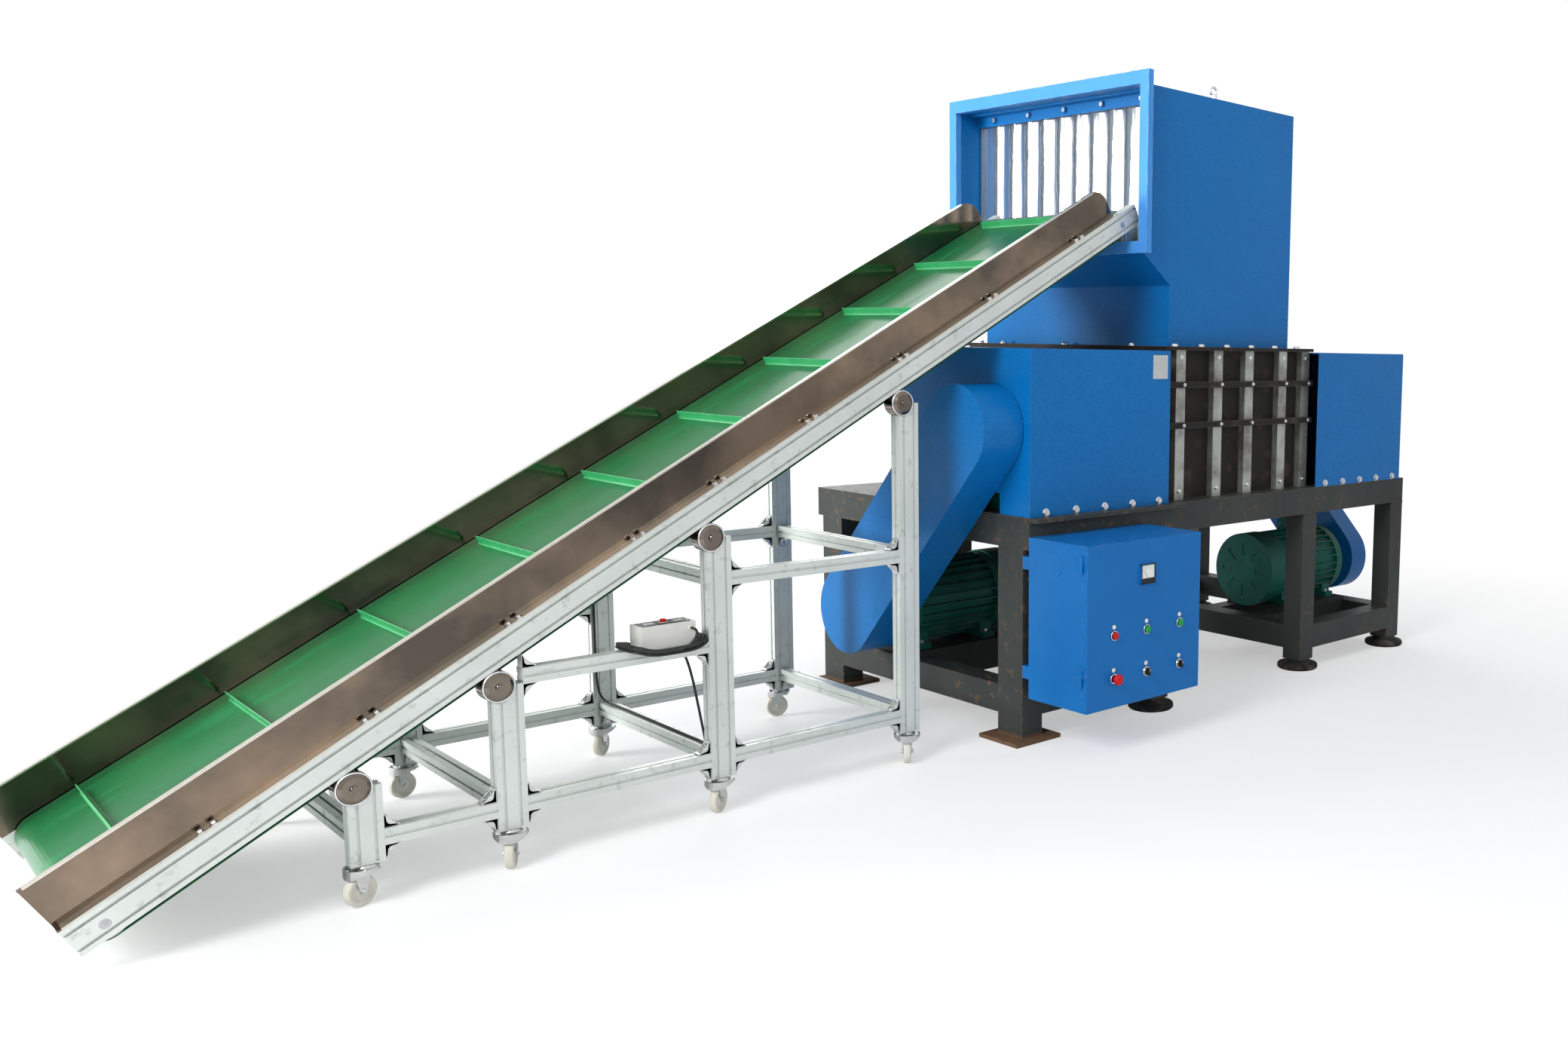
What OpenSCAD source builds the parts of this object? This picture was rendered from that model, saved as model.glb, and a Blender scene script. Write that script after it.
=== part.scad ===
// Four shaft shredder with its inclined feed conveyor.
// X runs along the conveyor towards the machine, Y away from the control cabinet, Z up.
// The drives at the two ends of the machine are the same, turned half round about the vertical.

/* [Base frame] */
// Height of the deck that the machine stands on
deck_z = 860; // [800:1:950]
// Height of the deck beams
deck_beam_h = 120; // [80:1:160]
// Width of the deck beams
deck_beam_w = 100; // [70:1:110]
// Distance from the machine centre to the end of the frame on the conveyor side
front_end = 1225; // [1200:1:1300]
// Distance from the machine centre to the far end of the frame
rear_end = 1284; // [1240:1:1340]
// Half width of the deck
deck_half = 695; // [685:1:740]
// How far the deck lip reaches past the deck on the cabinet side
deck_lip = 45; // [20:1:80]
// Thickness of the deck lip and of the foot plates
plate_t = 15; // [8:1:20]
// Size of the legs along X
leg_l = 100; // [80:1:104]
// Size of the front legs along Y
leg_w = 140; // [110:1:150]
// How far the front legs stand in from the sides of the deck
front_leg_inset = 35; // [30:1:55]
// Bottom of the lower beams
low_beam_z = 95; // [70:1:130]
// Height of the lower beams
low_beam_h = 110; // [80:1:130]
// Side of the square foot plates
foot_plate = 220; // [190:1:260]
// Diameter of the round feet
foot_d = 190; // [120:1:220]
// Height of the round feet
foot_h = 45; // [30:1:70]
// Thickness of the plate under a motor
motor_plate_t = 20; // [10:1:30]

/* [Cutting chamber] */
// Distance from the machine centre to the chamber wall on the conveyor side
chamber_front = 455; // [440:1:460]
// Distance from the machine centre to the far chamber wall
chamber_rear = 540; // [520:1:560]
// Thickness of the chamber end walls
end_wall_t = 40; // [20:1:50]
// Half width of the chamber over its ribs
chamber_half = 661; // [640:1:680]
// Height of the top of the chamber flange
chamber_top = 1500; // [1470:1:1560]
// Thickness of the chamber flange
flange_t = 14; // [8:1:20]
// Thickness of the chamber side walls
side_wall_t = 20; // [10:1:30]
// Depth of the upright ribs
rib_d = 30; // [15:1:40]
// Width of the upright ribs
rib_w = 57; // [40:1:70]
// Depth of the ribs that lie across
cross_rib_d = 22; // [10:1:30]
// Height of the ribs that lie across
cross_rib_h = 25; // [15:1:40]
// Height of the cutter shafts
shaft_z = 1180; // [1150:1:1210]
// Distance from one cutter shaft to the next
shaft_pitch = 270; // [262:1:280]
// Diameter of the cutter shafts
shaft_d = 110; // [80:1:120]
// Diameter over the claws of a cutter disc
claw_d = 330; // [300:1:334]
// Diameter of a cutter disc between its claws
disc_d = 286; // [260:1:290]
// Thickness of a cutter disc
disc_t = 37; // [25:0.5:38]
// Distance from one disc to the next on a shaft
disc_pitch = 80; // [78:1:84]
// Diameter of the spacer rings
spacer_d = 200; // [160:1:205]
// Claws on each disc
claws = 6; // [3:1:9]
// Teeth of a timing gear
gear_teeth = 27; // [20:1:30]
// Width of a timing gear
gear_w = 60; // [30:1:80]
// Thickness of the screen
screen_t = 8; // [4:1:12]
// Diameter of the screen holes
screen_hole_d = 40; // [20:1:44]

/* [Hopper] */
// Distance from the machine centre to the lower hopper wall on the conveyor side
hopper_front = 365; // [330:1:380]
// Distance from the machine centre to the far hopper wall
hopper_rear = 435; // [380:1:450]
// Half width of the hopper
hopper_half = 588; // [560:1:600]
// Height of the top of the hopper
hopper_top = 2538; // [2480:1:2600]
// Height where the hopper starts to widen
hopper_knee = 1750; // [1700:1:1790]
// Height of the lower lip of the mouth
mouth_low = 1871; // [1850:1:1880]
// Distance from the machine centre to the mouth
mouth_x = 525; // [500:1:535]
// Thickness of the hopper sheet
hopper_t = 6; // [3:1:8]
// Width of the flange around the mouth
mouth_flange_w = 47; // [30:1:60]
// Depth of the flange around the mouth
mouth_flange_d = 28; // [15:1:30]
// Distance from the machine centre to the curtain bar
curtain_x = 415; // [390:1:440]
// Leg of the curtain bar's angle
curtain_bar_leg = 50; // [30:1:60]
// Length of the curtain strips
strip_len = 644; // [560:1:660]
// Thickness of the curtain strips
strip_t = 3; // [2:0.5:5]
// Number of curtain strips
strips = 11; // [8:1:14]
// Diameter of the ring of the lifting eye
eye_d = 46; // [30:1:60]

/* [Drives] */
// Height of the gear covers' top
cover_top = 1482; // [1450:1:1484]
// Thickness of the cover sheet
cover_t = 4; // [2:0.5:6]
// How far the front cover reaches past the middle
front_cover_far = 75; // [40:1:110]
// Distance from the machine centre to the outer face of the belt guards
guard_reach = 1410; // [1380:1:1440]
// Diameter of the upper lobe of a belt guard
guard_top_d = 340; // [320:1:380]
// Diameter of the lower lobe of a belt guard
guard_low_d = 350; // [250:1:380]
// Diameter of a motor pulley
motor_pulley_d = 190; // [140:1:220]
// Diameter of a reducer pulley
reducer_pulley_d = 300; // [260:1:310]
// Width of a pulley
pulley_w = 90; // [70:1:100]
// Number of belts on a pulley
belts = 3; // [2:1:4]
// Width of a belt
belt_w = 16; // [10:1:20]
// Height of a belt
belt_h = 12; // [8:1:14]
// Side shift of the upper pulley from the middle
top_pulley_y = 490; // [480:1:500]
// Side shift of a motor from the middle
motor_y = 224; // [200:1:250]
// Height of the motor shaft above its feet
motor_centre_h = 180; // [170:1:200]
// Diameter of a motor's body without fins
motor_d = 310; // [260:1:320]
// Diameter over the motor's fins
motor_fin_d = 350; // [330:1:356]
// Length of a motor's body
motor_len = 400; // [380:1:430]
// Length of the fan cowl
cowl_len = 110; // [80:1:130]
// Diameter of the motor shaft
motor_shaft_d = 48; // [30:1:60]

/* [Control cabinet] */
// Width of the cabinet
cabinet_w = 604; // [520:1:640]
// Depth of the cabinet with its door
cabinet_d = 313; // [280:1:360]
// Height of the cabinet
cabinet_h = 610; // [560:1:640]
// How far the top of the cabinet lies below the deck
cabinet_drop = 70; // [40:1:100]
// Thickness of the cabinet sheet
cabinet_t = 4; // [2:0.5:6]
// Thickness of the door
door_t = 25; // [20:1:35]
// Diameter of the blanking disc on the side
blank_d = 76; // [50:1:90]
// Diameter of a push button
button_d = 28; // [22:1:34]
// Travel of a push button
button_travel = 5; // [3:0.5:8]
// Diameter of the emergency stop
stop_d = 42; // [34:1:55]
// Width of the meter
meter_w = 75; // [60:1:90]

/* [Conveyor] */
// Slope of the conveyor in degrees
slope = 29.2; // [28.5:0.1:30]
// Distance between the end pulleys
conveyor_len = 3800; // [3750:1:3820]
// Distance from the machine centre to the head pulley
head_x = 610; // [600:1:630]
// Height of the head pulley
head_z = 1977; // [1965:1:2000]
// Width over the conveyor beams
conveyor_w = 875; // [840:1:900]
// Side shift of the conveyor towards the cabinet
conveyor_y = 112.5; // [80:0.5:130]
// Height of a conveyor beam
beam_h = 80; // [70:1:90]
// Width of a conveyor beam
beam_w = 40; // [30:1:45]
// How far the top of the beams lies below the belt
beam_drop = 15; // [10:1:25]
// Diameter of an end pulley with the belt on it
pulley_d = 120; // [110:1:130]
// Thickness of the belt
belt_t = 3; // [2:0.5:5]
// Height of a cleat
cleat_h = 28; // [15:1:40]
// Distance from cleat to cleat
cleat_pitch = 400; // [300:1:500]
// Distance from a cleat's end to the belt's edge
cleat_inset = 70; // [40:1:100]
// Height of the side guards above the beams
guard_h = 125; // [100:1:150]
// Thickness of the side guards
guard_t = 3; // [2:0.5:4]

/* [Stand] */
// Distance from the first leg pair to the last
stand_len = 1728; // [1700:1:1780]
// Distance from the machine centre to the middle of the stand
stand_mid_x = 2519; // [2496:1:2536]
// Size of a stand leg along X
post_l = 82; // [70:1:90]
// Size of a stand leg along Y
post_w = 44; // [40:1:50]
// Side of a stand rail
rail_w = 45; // [40:1:50]
// Height of the casters
caster_h = 115; // [105:1:130]
// Diameter of the caster wheels
wheel_d = 84; // [70:1:86]
// Width of the caster wheels
wheel_w = 26; // [20:1:30]
// Diameter of the pivot discs
pivot_d = 90; // [84:1:96]

/* [Control box] */
// Length of the control box
box_l = 172; // [150:1:190]
// Depth of the control box
box_w = 75; // [65:1:90]
// Height of the control box
box_h = 68; // [55:1:80]
// Diameter of the cable
cable_d = 8; // [7:0.5:8.5]
// Loops of the cable coil
cable_loops = 6; // [4:2:8]

/* [Hidden] */
// Gap between two beams where the weld bead lies
weld = 0.2;
// Gap between a turning shaft and its bore, to each side
run_gap = 0.05;
// Gap beside a piece that moves past its seat
play = 0.3;
// Overrun of a cut past the face it goes through
cut = 5;
// Sides of a full round, and of a small one
round_fn = 64;
small_fn = 32;

// Places worked out from the sizes above
deck_under = deck_z - deck_beam_h;
beam_top = deck_z - plate_t - weld;
throat_front = chamber_front - end_wall_t;
throat_rear = chamber_rear - end_wall_t;
throat_half = deck_half - deck_beam_w;
front_leg_half = deck_half - front_leg_inset;
low_top = low_beam_z + low_beam_h;
motor_z = low_top + motor_plate_t + motor_centre_h;
flange_under = chamber_top - flange_t;
conveyor_near = -conveyor_y - conveyor_w / 2;
conveyor_far = -conveyor_y + conveyor_w / 2;
beam_top_n = pulley_d / 2 - beam_drop;
beam_low_n = beam_top_n - beam_h;
cabinet_z = deck_z - cabinet_drop - cabinet_h;
cabinet_left = -front_end;
cabinet_right = cabinet_left + cabinet_w;
cabinet_back = -deck_half - weld;
cabinet_front = cabinet_back - cabinet_d;
door_back = cabinet_front + door_t;
// How far the conveyor beams run past the tail pulley and past the head pulley
tail_run = 72;
head_run = 97;
// Knob of the emergency stop in front of the door
stop_h = 38;
x_min = -head_x - (conveyor_len + tail_run) * cos(slope) - (beam_top_n + guard_h) * sin(slope);
x_max = guard_reach;
y_min = cabinet_front - stop_h;
y_max = deck_half - leg_l / 2 + foot_d / 2;
mid_x = (x_min + x_max) / 2;
mid_y = (y_min + y_max) / 2;

// A straight block from its low corner to its high corner
module slab(low, high) {
    translate(low) cube(high - low);
}

// A flat outline in Y and Z, drawn out along X
module along_x(from, to) {
    translate([from, 0, 0]) rotate([90, 0, 90]) linear_extrude(to - from) children();
}

// A flat outline in X and Z, drawn out along Y
module along_y(from, to) {
    translate([0, to, 0]) rotate([90, 0, 0]) linear_extrude(to - from) children();
}

// Round bars along the three directions
module rod_x(d, from, to, y, z) {
    translate([from, y, z]) rotate([0, 90, 0]) cylinder(d = d, h = to - from, $fn = round_fn);
}

module rod_y(d, from, to, x, z) {
    translate([x, to, z]) rotate([90, 0, 0]) cylinder(d = d, h = to - from, $fn = round_fn);
}

module rod_z(d, from, to, x, y) {
    translate([x, y, from]) cylinder(d = d, h = to - from, $fn = round_fn);
}

// Hexagon bolt head with its washer, standing on the plane z = 0
// Nominal diameter of the machine's bolts, and of the small bolts on guards and pivots as a share
bolt_d = 16;
small_bolt_share = 0.6;
pivot_bolt_share = 0.8;
head_share = 0.65;
washer_share = 2;
module bolt_head(d = bolt_d) {
    cylinder(d = d * washer_share, h = d * (1 - head_share) / 2, $fn = small_fn);
    cylinder(d = d * (1 + head_share), h = d * head_share, $fn = 6);
}

// Drawn at the front drive, or turned half round to the rear drive
module at_drive(side) {
    rotate([0, 0, 180 * side]) children();
}

// Outline round two circles, with the straight sides that touch them both
function arc_points(c, r, from, to) =
    [for (k = [0 : round_fn / 2])
        let (a = from + (to - from) * k * 2 / round_fn) c + r * [cos(a), sin(a)]];
module obround(a, b, ra, rb) {
    way = atan2(b[1] - a[1], b[0] - a[0]);
    turn = acos((ra - rb) / norm(b - a));
    polygon(concat(arc_points(a, ra, way + turn, way - turn + 360),
        arc_points(b, rb, way - turn, way + turn)));
}

// Base frame of welded beams: deck plates, deck beams, legs, foot plates, lower beams, motor rails
// Width of a motor rail, and its distance to each side of the motor's axis
motor_rail_w = 80;
motor_rail_gap = 150;
// Ends of the frame at the front and the rear drive
drive_ends = [front_end, rear_end];

module deck() {
    color([0.22, 0.2, 0.19]) {
        slab([-front_end, -deck_half - deck_lip, deck_z - plate_t],
            [-throat_front - weld, deck_half, deck_z]);
        slab([throat_rear + weld, -deck_half, deck_z - plate_t], [rear_end, deck_half, deck_z]);
        for (s = [0, 1]) mirror([0, s, 0]) {
            slab([-throat_front, throat_half, deck_z - plate_t], [throat_rear, deck_half, deck_z]);
            slab([-front_end, throat_half, deck_under], [rear_end, deck_half, beam_top]);
        }
        for (x = [-front_end, -throat_front - leg_l, throat_rear, rear_end - leg_l])
            slab([x, -throat_half + weld, deck_under], [x + leg_l, throat_half - weld, beam_top]);
    }
}

module legs() {
    inner_y = deck_half - leg_l;
    color([0.22, 0.2, 0.19])
    for (s = [0, 1]) mirror([0, s, 0]) {
        slab([-front_end, front_leg_half - leg_w, plate_t + weld],
            [-front_end + leg_l, front_leg_half, deck_under - weld]);
        translate([-front_end + leg_l / 2, front_leg_half - leg_w / 2, 0])
            slab([-foot_plate / 2, -foot_plate / 2, 0], [foot_plate / 2, foot_plate / 2, plate_t]);
        for (x = [-chamber_front - leg_l, chamber_front, rear_end - leg_l])
            slab([x, inner_y, foot_h + weld], [x + leg_l, deck_half, deck_under - weld]);
    }
}

module lower_beams() {
    front_in = front_leg_half - leg_w - weld;
    rear_in = deck_half - leg_l - weld;
    color([0.2, 0.18, 0.17]) {
        slab([-front_end, -front_in, low_beam_z], [-front_end + leg_l, front_in, low_top]);
        for (x = [-chamber_front - leg_l, chamber_front, rear_end - leg_l])
            slab([x, -rear_in, low_beam_z], [x + leg_l, rear_in, low_top]);
        for (s = [0, 1]) mirror([0, s, 0]) {
            slab([-front_end + leg_l + weld, front_leg_half - leg_l, low_beam_z],
                [-chamber_front - leg_l - weld, front_leg_half, low_top]);
            slab([chamber_front + leg_l + weld, deck_half - leg_l, low_beam_z],
                [rear_end - leg_l - weld, deck_half, low_top]);
        }
        for (side = [0, 1]) at_drive(side)
            slab([-motor_end, motor_y - motor_rail_gap - motor_rail_w / 2, low_top + weld],
                [-motor_end + shield_len * 2 + motor_len, motor_y + motor_rail_gap + motor_rail_w / 2,
                 low_top + motor_plate_t]);
        for (side = [0, 1]) at_drive(side)
        for (s = [-1, 1])
            slab([-drive_ends[side] + leg_l + weld,
                  motor_y + s * motor_rail_gap - motor_rail_w / 2, low_beam_z],
                [-chamber_front - leg_l - weld,
                 motor_y + s * motor_rail_gap + motor_rail_w / 2, low_top]);
    }
}

module base_frame() {
    deck();
    legs();
    lower_beams();
}

module machine_feet() {
    inner_y = deck_half - leg_l / 2;
    pad_share = 0.6;
    color([0.12, 0.11, 0.11])
    for (s = [-1, 1])
    for (x = [-chamber_front - leg_l / 2, chamber_front + leg_l / 2, rear_end - leg_l / 2])
    translate([x, s * inner_y, 0]) {
        cylinder(d = foot_d, h = foot_h * pad_share, $fn = round_fn);
        cylinder(d = foot_d * pad_share, h = foot_h, $fn = round_fn);
    }
}

// Cutting chamber: bored end walls, recessed side walls with ribs, flange ring on top
// Side shifts of the four cutter shafts from the middle
shaft_places = [for (k = [0 : 3]) (k - 3 / 2) * shaft_pitch];
// Middles of the upright ribs, as shares of the chamber's length from its front end
rib_shares = [0.11, 0.35, 0.56, 0.80, 0.97];
// Heights of the ribs that lie across, as shares of the chamber's height
cross_rib_shares = [0.5, 0.77];
// Bore of the end walls around each bearing
bearing_d = 170;

module chamber() {
    wall_out = chamber_half - cross_rib_d - rib_d;
    floor_z = deck_z + weld;
    top_z = flange_under - weld;
    length = chamber_rear + chamber_front;
    inner_front = -throat_front + weld;
    inner_rear = throat_rear - weld;
    color([0.16, 0.15, 0.15])
    for (x = [-chamber_front, throat_rear])
    difference() {
        slab([x, -wall_out, floor_z], [x + end_wall_t, wall_out, top_z]);
        for (y = shaft_places) rod_x(bearing_d, x - cut, x + end_wall_t + cut, y, shaft_z);
    }
    for (s = [0, 1]) mirror([0, s, 0]) {
        color([0.13, 0.12, 0.12])
            slab([inner_front, wall_out - side_wall_t, floor_z], [inner_rear, wall_out, top_z]);
        color([0.62, 0.63, 0.64])
        for (share = rib_shares)
        translate([-chamber_front + share * length, 0, 0])
            slab([-rib_w / 2, wall_out + weld, floor_z], [rib_w / 2, wall_out + rib_d, top_z]);
        color([0.15, 0.14, 0.14])
        for (share = cross_rib_shares)
        translate([0, 0, floor_z + share * (top_z - floor_z)])
            slab([-chamber_front, chamber_half - cross_rib_d + weld, -cross_rib_h / 2],
                [chamber_rear, chamber_half, cross_rib_h / 2]);
    }
    color([0.18, 0.17, 0.17]) {
        side_in = hopper_half + weld;
        for (s = [0, 1]) mirror([0, s, 0])
            slab([-chamber_front, side_in, flange_under], [chamber_rear, chamber_half, chamber_top]);
        slab([-chamber_front, -hopper_half, flange_under],
            [-hopper_front - weld, hopper_half, chamber_top]);
        slab([hopper_rear + weld, -hopper_half, flange_under],
            [chamber_rear, hopper_half, chamber_top]);
    }
}

module shaft_bearings() {
    bore = shaft_d + 2 * run_gap;
    rim_share = 1.18;
    color([0.45, 0.46, 0.48])
    for (y = shaft_places)
    for (x = [-chamber_front, throat_rear])
    difference() {
        union() {
            rod_x(bearing_d - 2 * weld, x, x + end_wall_t, y, shaft_z);
            if (x < 0) rod_x(bearing_d * rim_share, x - plate_t, x - weld, y, shaft_z);
            if (x < 0) rod_x(bearing_d - 2 * weld, x - plate_t, x + end_wall_t, y, shaft_z);
            if (x > 0) rod_x(bearing_d * rim_share, x + end_wall_t + weld, x + end_wall_t + plate_t,
                y, shaft_z);
            if (x > 0) rod_x(bearing_d - 2 * weld, x, x + end_wall_t + plate_t, y, shaft_z);
        }
        rod_x(bore, x - end_wall_t, x + 2 * end_wall_t, y, shaft_z);
    }
}

// Screen: four curved plates under the cutters with rows of round holes
// Rows round the curve, holes in a row, and the angle that the plate spans
screen_rows = 3;
screen_holes = 6;
screen_sweep = 92;
module screen() {
    inner_r = claw_d / 2 + cut;
    length = throat_rear + throat_front - 4 * weld;
    step = length / screen_holes;
    color([0.4, 0.38, 0.36])
    for (y = shaft_places)
    translate([-throat_front + 2 * weld, y, shaft_z])
    difference() {
        rotate([90, 0, 90]) linear_extrude(length) difference() {
            circle(r = inner_r + screen_t, $fn = round_fn);
            circle(r = inner_r, $fn = round_fn);
            translate([-claw_d, -inner_r * cos(screen_sweep / 2)]) square(2 * claw_d);
        }
        for (k = [0 : screen_holes - 1])
        for (r = [0 : screen_rows - 1])
        translate([(k + 0.5) * step, 0, 0])
        rotate([(r - (screen_rows - 1) / 2) * screen_sweep / (screen_rows + 1), 0, 0])
        translate([0, 0, -2 * inner_r])
            cylinder(d = screen_hole_d, h = 2 * inner_r, $fn = small_fn);
    }
}

// Cutter discs with hooked claws, given as shares of the claw radius and of one claw's turn
disc_share = disc_d / claw_d;
claw_shares = [[1, 0], [0.97, 0.22], [disc_share, 0.46], [disc_share, 0.72], [disc_share, 0.95]];
// Discs that fit on a shaft, and the place of the first one
discs = floor((throat_rear + throat_front - disc_pitch / 2 - disc_t) / disc_pitch) + 1;
disc_start = -throat_front
    + (throat_rear + throat_front - (discs - 1) * disc_pitch - disc_pitch / 2 - disc_t) / 2;
// Plane where the timing gears start, as a distance from a chamber end wall
gear_out = plate_t + cut;
// Distance from the machine centre to the chamber side of a reducer, and its length
reducer_in = 650;
reducer_len = 500;
// How deep a shaft stands in its bore
bore_depth = 60;
// Diameter of a reducer's input shaft
input_d = 60;
// Bore of what is pressed on a cutter shaft
bore_d = shaft_d + 2 * weld;
// Gap at the flanks of meshed teeth, as a share of the tooth pitch
backlash_share = 0.03;
// Foot of a tooth below the pitch circle, as a share of the module
dedendum_share = 1.25;
pressure_angle = 20;

function involute(base, r) = let (t = sqrt(pow(r / base, 2) - 1)) t * 180 / PI - atan(t);
function gear_points(teeth, pitch_d) =
    let (m = pitch_d / teeth, rp = pitch_d / 2, rb = rp * cos(pressure_angle),
         root = rp - dedendum_share * m, tip = rp + m, steps = 4,
         half = (1 - 2 * backlash_share) * 90 / teeth + involute(rb, rp),
         low = max(root, rb))
    [for (k = [0 : teeth - 1]) let (a = k * 360 / teeth)
        each concat(
            [root * [cos(a - half), sin(a - half)]],
            [for (s = [0 : steps]) let (r = low + (tip - low) * s / steps, w = half - involute(rb, r))
                r * [cos(a - w), sin(a - w)]],
            [for (s = [steps : -1 : 0]) let (r = low + (tip - low) * s / steps,
                w = half - involute(rb, r)) r * [cos(a + w), sin(a + w)]],
            [root * [cos(a + half), sin(a + half)]])];

module cutter_disc() {
    points = [for (k = [0 : claws - 1]) for (p = claw_shares)
        let (a = (k + p[1]) * 360 / claws) p[0] * claw_d / 2 * [cos(a), sin(a)]];
    difference() {
        polygon(points);
        circle(d = bore_d, $fn = round_fn);
    }
}

module timing_gear(phase) {
    difference() {
        rotate(phase) polygon(gear_points(gear_teeth, shaft_pitch));
        circle(d = bore_d, $fn = round_fn);
    }
}

module cutter_shaft(k) {
    y = shaft_places[k];
    lead = k == 0 || k == 3;
    gear_end = gear_out + gear_w + cut;
    stub = plate_t + bore_depth / 4;
    lead_end = reducer_in + bore_depth - play;
    front_x = -(k > 1 ? chamber_front + stub : lead ? lead_end : chamber_front + gear_end);
    rear_x = k < 2 ? chamber_rear + stub : lead ? lead_end : chamber_rear + gear_end;
    gear_x = k < 2 ? -chamber_front - gear_out - gear_w : chamber_rear + gear_out;
    first = disc_start + (k % 2) * disc_pitch / 2;
    last = first + (discs - 1) * disc_pitch + disc_t;
    turn = (k % 2) * 180 / claws;
    color([0.55, 0.55, 0.56]) rod_x(shaft_d, front_x, rear_x, y, shaft_z);
    translate([0, y, shaft_z]) {
        color([0.42, 0.4, 0.4])
        for (n = [0 : discs - 1])
        translate([first + n * disc_pitch, 0, 0])
        rotate([turn + n * 360 / claws / 4, 0, 0]) along_x(0, disc_t) cutter_disc();
        color([0.6, 0.6, 0.6]) {
            for (n = [0 : discs - 2])
                spacer(first + n * disc_pitch + disc_t + weld, first + (n + 1) * disc_pitch - weld);
            spacer(-throat_front + play, first - weld);
            spacer(last + weld, throat_rear - play);
            translate([gear_x, 0, 0])
                along_x(0, gear_w) timing_gear(90 + (k % 2) * 180 / gear_teeth);
        }
    }
}

module spacer(from, to) {
    along_x(from, to) difference() {
        circle(d = spacer_d, $fn = round_fn);
        circle(d = bore_d, $fn = round_fn);
    }
}

// Hopper: one sheet-metal box, narrow at the chamber and wide at the mouth
function hopper_outline(in) = [
    [-mouth_x + weld, mouth_low + in], [-hopper_front + in, hopper_knee + in / 2],
    [-hopper_front + in, flange_under + weld], [hopper_rear - in, flange_under + weld],
    [hopper_rear - in, hopper_top - in], [-mouth_x + weld, hopper_top - in]];
module hopper() {
    inside = hopper_outline(hopper_t);
    color([0.09, 0.36, 0.72])
    difference() {
        along_y(-hopper_half, hopper_half) polygon(hopper_outline(0));
        along_y(-hopper_half + hopper_t, hopper_half - hopper_t) polygon(inside);
        slab([-mouth_x - cut, -hopper_half + hopper_t, mouth_low + hopper_t],
            [-mouth_x + cut, hopper_half - hopper_t, hopper_top - hopper_t]);
        slab([-hopper_front + hopper_t, -hopper_half + hopper_t, flange_under - cut],
            [hopper_rear - hopper_t, hopper_half - hopper_t, flange_under + cut]);
    }
}

module infeed_flange() {
    y = hopper_half - hopper_t;
    color([0.25, 0.52, 0.85])
    difference() {
        slab([-mouth_x - mouth_flange_d, -y - mouth_flange_w, mouth_low],
            [-mouth_x, y + mouth_flange_w, hopper_top + mouth_flange_w]);
        slab([-mouth_x - mouth_flange_d - cut, -y, mouth_low + mouth_flange_w],
            [-mouth_x + cut, y, hopper_top - hopper_t]);
    }
}

// Underside of the hopper's roof, where the bar and the strips hang
curtain_top = hopper_top - hopper_t - weld;
module curtain_bar() {
    half = hopper_half - hopper_t - weld;
    leg = curtain_bar_leg;
    low = curtain_top - leg;
    color([0.09, 0.36, 0.72]) {
        slab([-curtain_x - leg, -half, curtain_top - hopper_t], [-curtain_x, half, curtain_top]);
        slab([-curtain_x - hopper_t, -half, low], [-curtain_x, half, curtain_top]);
    }
    color([0.7, 0.7, 0.72])
    for (k = [-2 : 2])
    translate([-curtain_x - hopper_t - weld, k * half * 2 / 5, low + leg / 2])
    rotate([0, -90, 0]) bolt_head();
}

// Clear strips, each bowed across its width
// Bow as a share of a strip's width, and the width as a share of the strips' pitch
strip_bow_share = 0.11;
strip_width_share = 0.97;
// Drop of the strips' top edge below the roof, so that they swing clear of it
strip_drop = 16;
module curtain_strips() {
    half = hopper_half - 2 * hopper_t;
    width = 2 * half / strips * strip_width_share;
    bow = width * strip_bow_share;
    r = (width * width / 4 + bow * bow) / (2 * bow);
    sweep = asin(width / 2 / r);
    steps = 8;
    front = [for (k = [0 : steps]) let (a = sweep * (2 * k / steps - 1))
        [bow + r * (cos(a) - 1), r * sin(a)]];
    back = [for (k = [steps : -1 : 0]) front[k] + [strip_t, 0]];
    color([0.85, 0.93, 0.96, 0.45])
    for (k = [0 : strips - 1])
    translate([-curtain_x + play, (2 * k + 1) * half / strips - half,
        curtain_top - strip_drop - strip_len])
        linear_extrude(strip_len) polygon(concat(front, back));
}

// Covers of folded sheet, open below and towards the chamber
// Distance from the machine centre to the outer end of the front and of the rear cover
cover_reach = [front_end - cover_t, rear_end - leg_l / 2 + 2 * cut];
// Hole for a shaft in covers and guards
input_hole_d = input_d + 4 * cut;
// Notch at the lower corner of the front cover where the belt guard passes
guard_notch_y = 524;
guard_notch_z = 940;
module front_gear_cover() {
    color([0.09, 0.36, 0.72])
    difference() {
        slab([-cover_reach[0], -deck_half, deck_z + weld],
            [-chamber_front - plate_t, front_cover_far, cover_top]);
        slab([-cover_reach[0] + cover_t, -deck_half + cover_t, deck_z - cut],
            [-chamber_front + cut, front_cover_far - cover_t, cover_top - cover_t]);
        slab([-cover_reach[0] - cut, -guard_notch_y, deck_z - cut],
            [-cover_reach[0] + cover_t + cut, front_cover_far + cut, guard_notch_z]);
        rod_x(input_hole_d, -cover_reach[0] - cut, -cover_reach[0] + 2 * cut, -top_pulley_y, shaft_z);
    }
}

module rear_gear_cover() {
    color([0.09, 0.36, 0.72])
    difference() {
        slab([chamber_rear + weld, -deck_half, deck_z + weld],
            [cover_reach[1], deck_half, cover_top]);
        slab([chamber_rear - cut, -deck_half + cover_t, deck_z - cut],
            [cover_reach[1] - cover_t, deck_half - cover_t, cover_top - cover_t]);
        rod_x(input_hole_d, cover_reach[1] - 2 * cut, cover_reach[1] + cut, top_pulley_y, shaft_z);
    }
}

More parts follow.
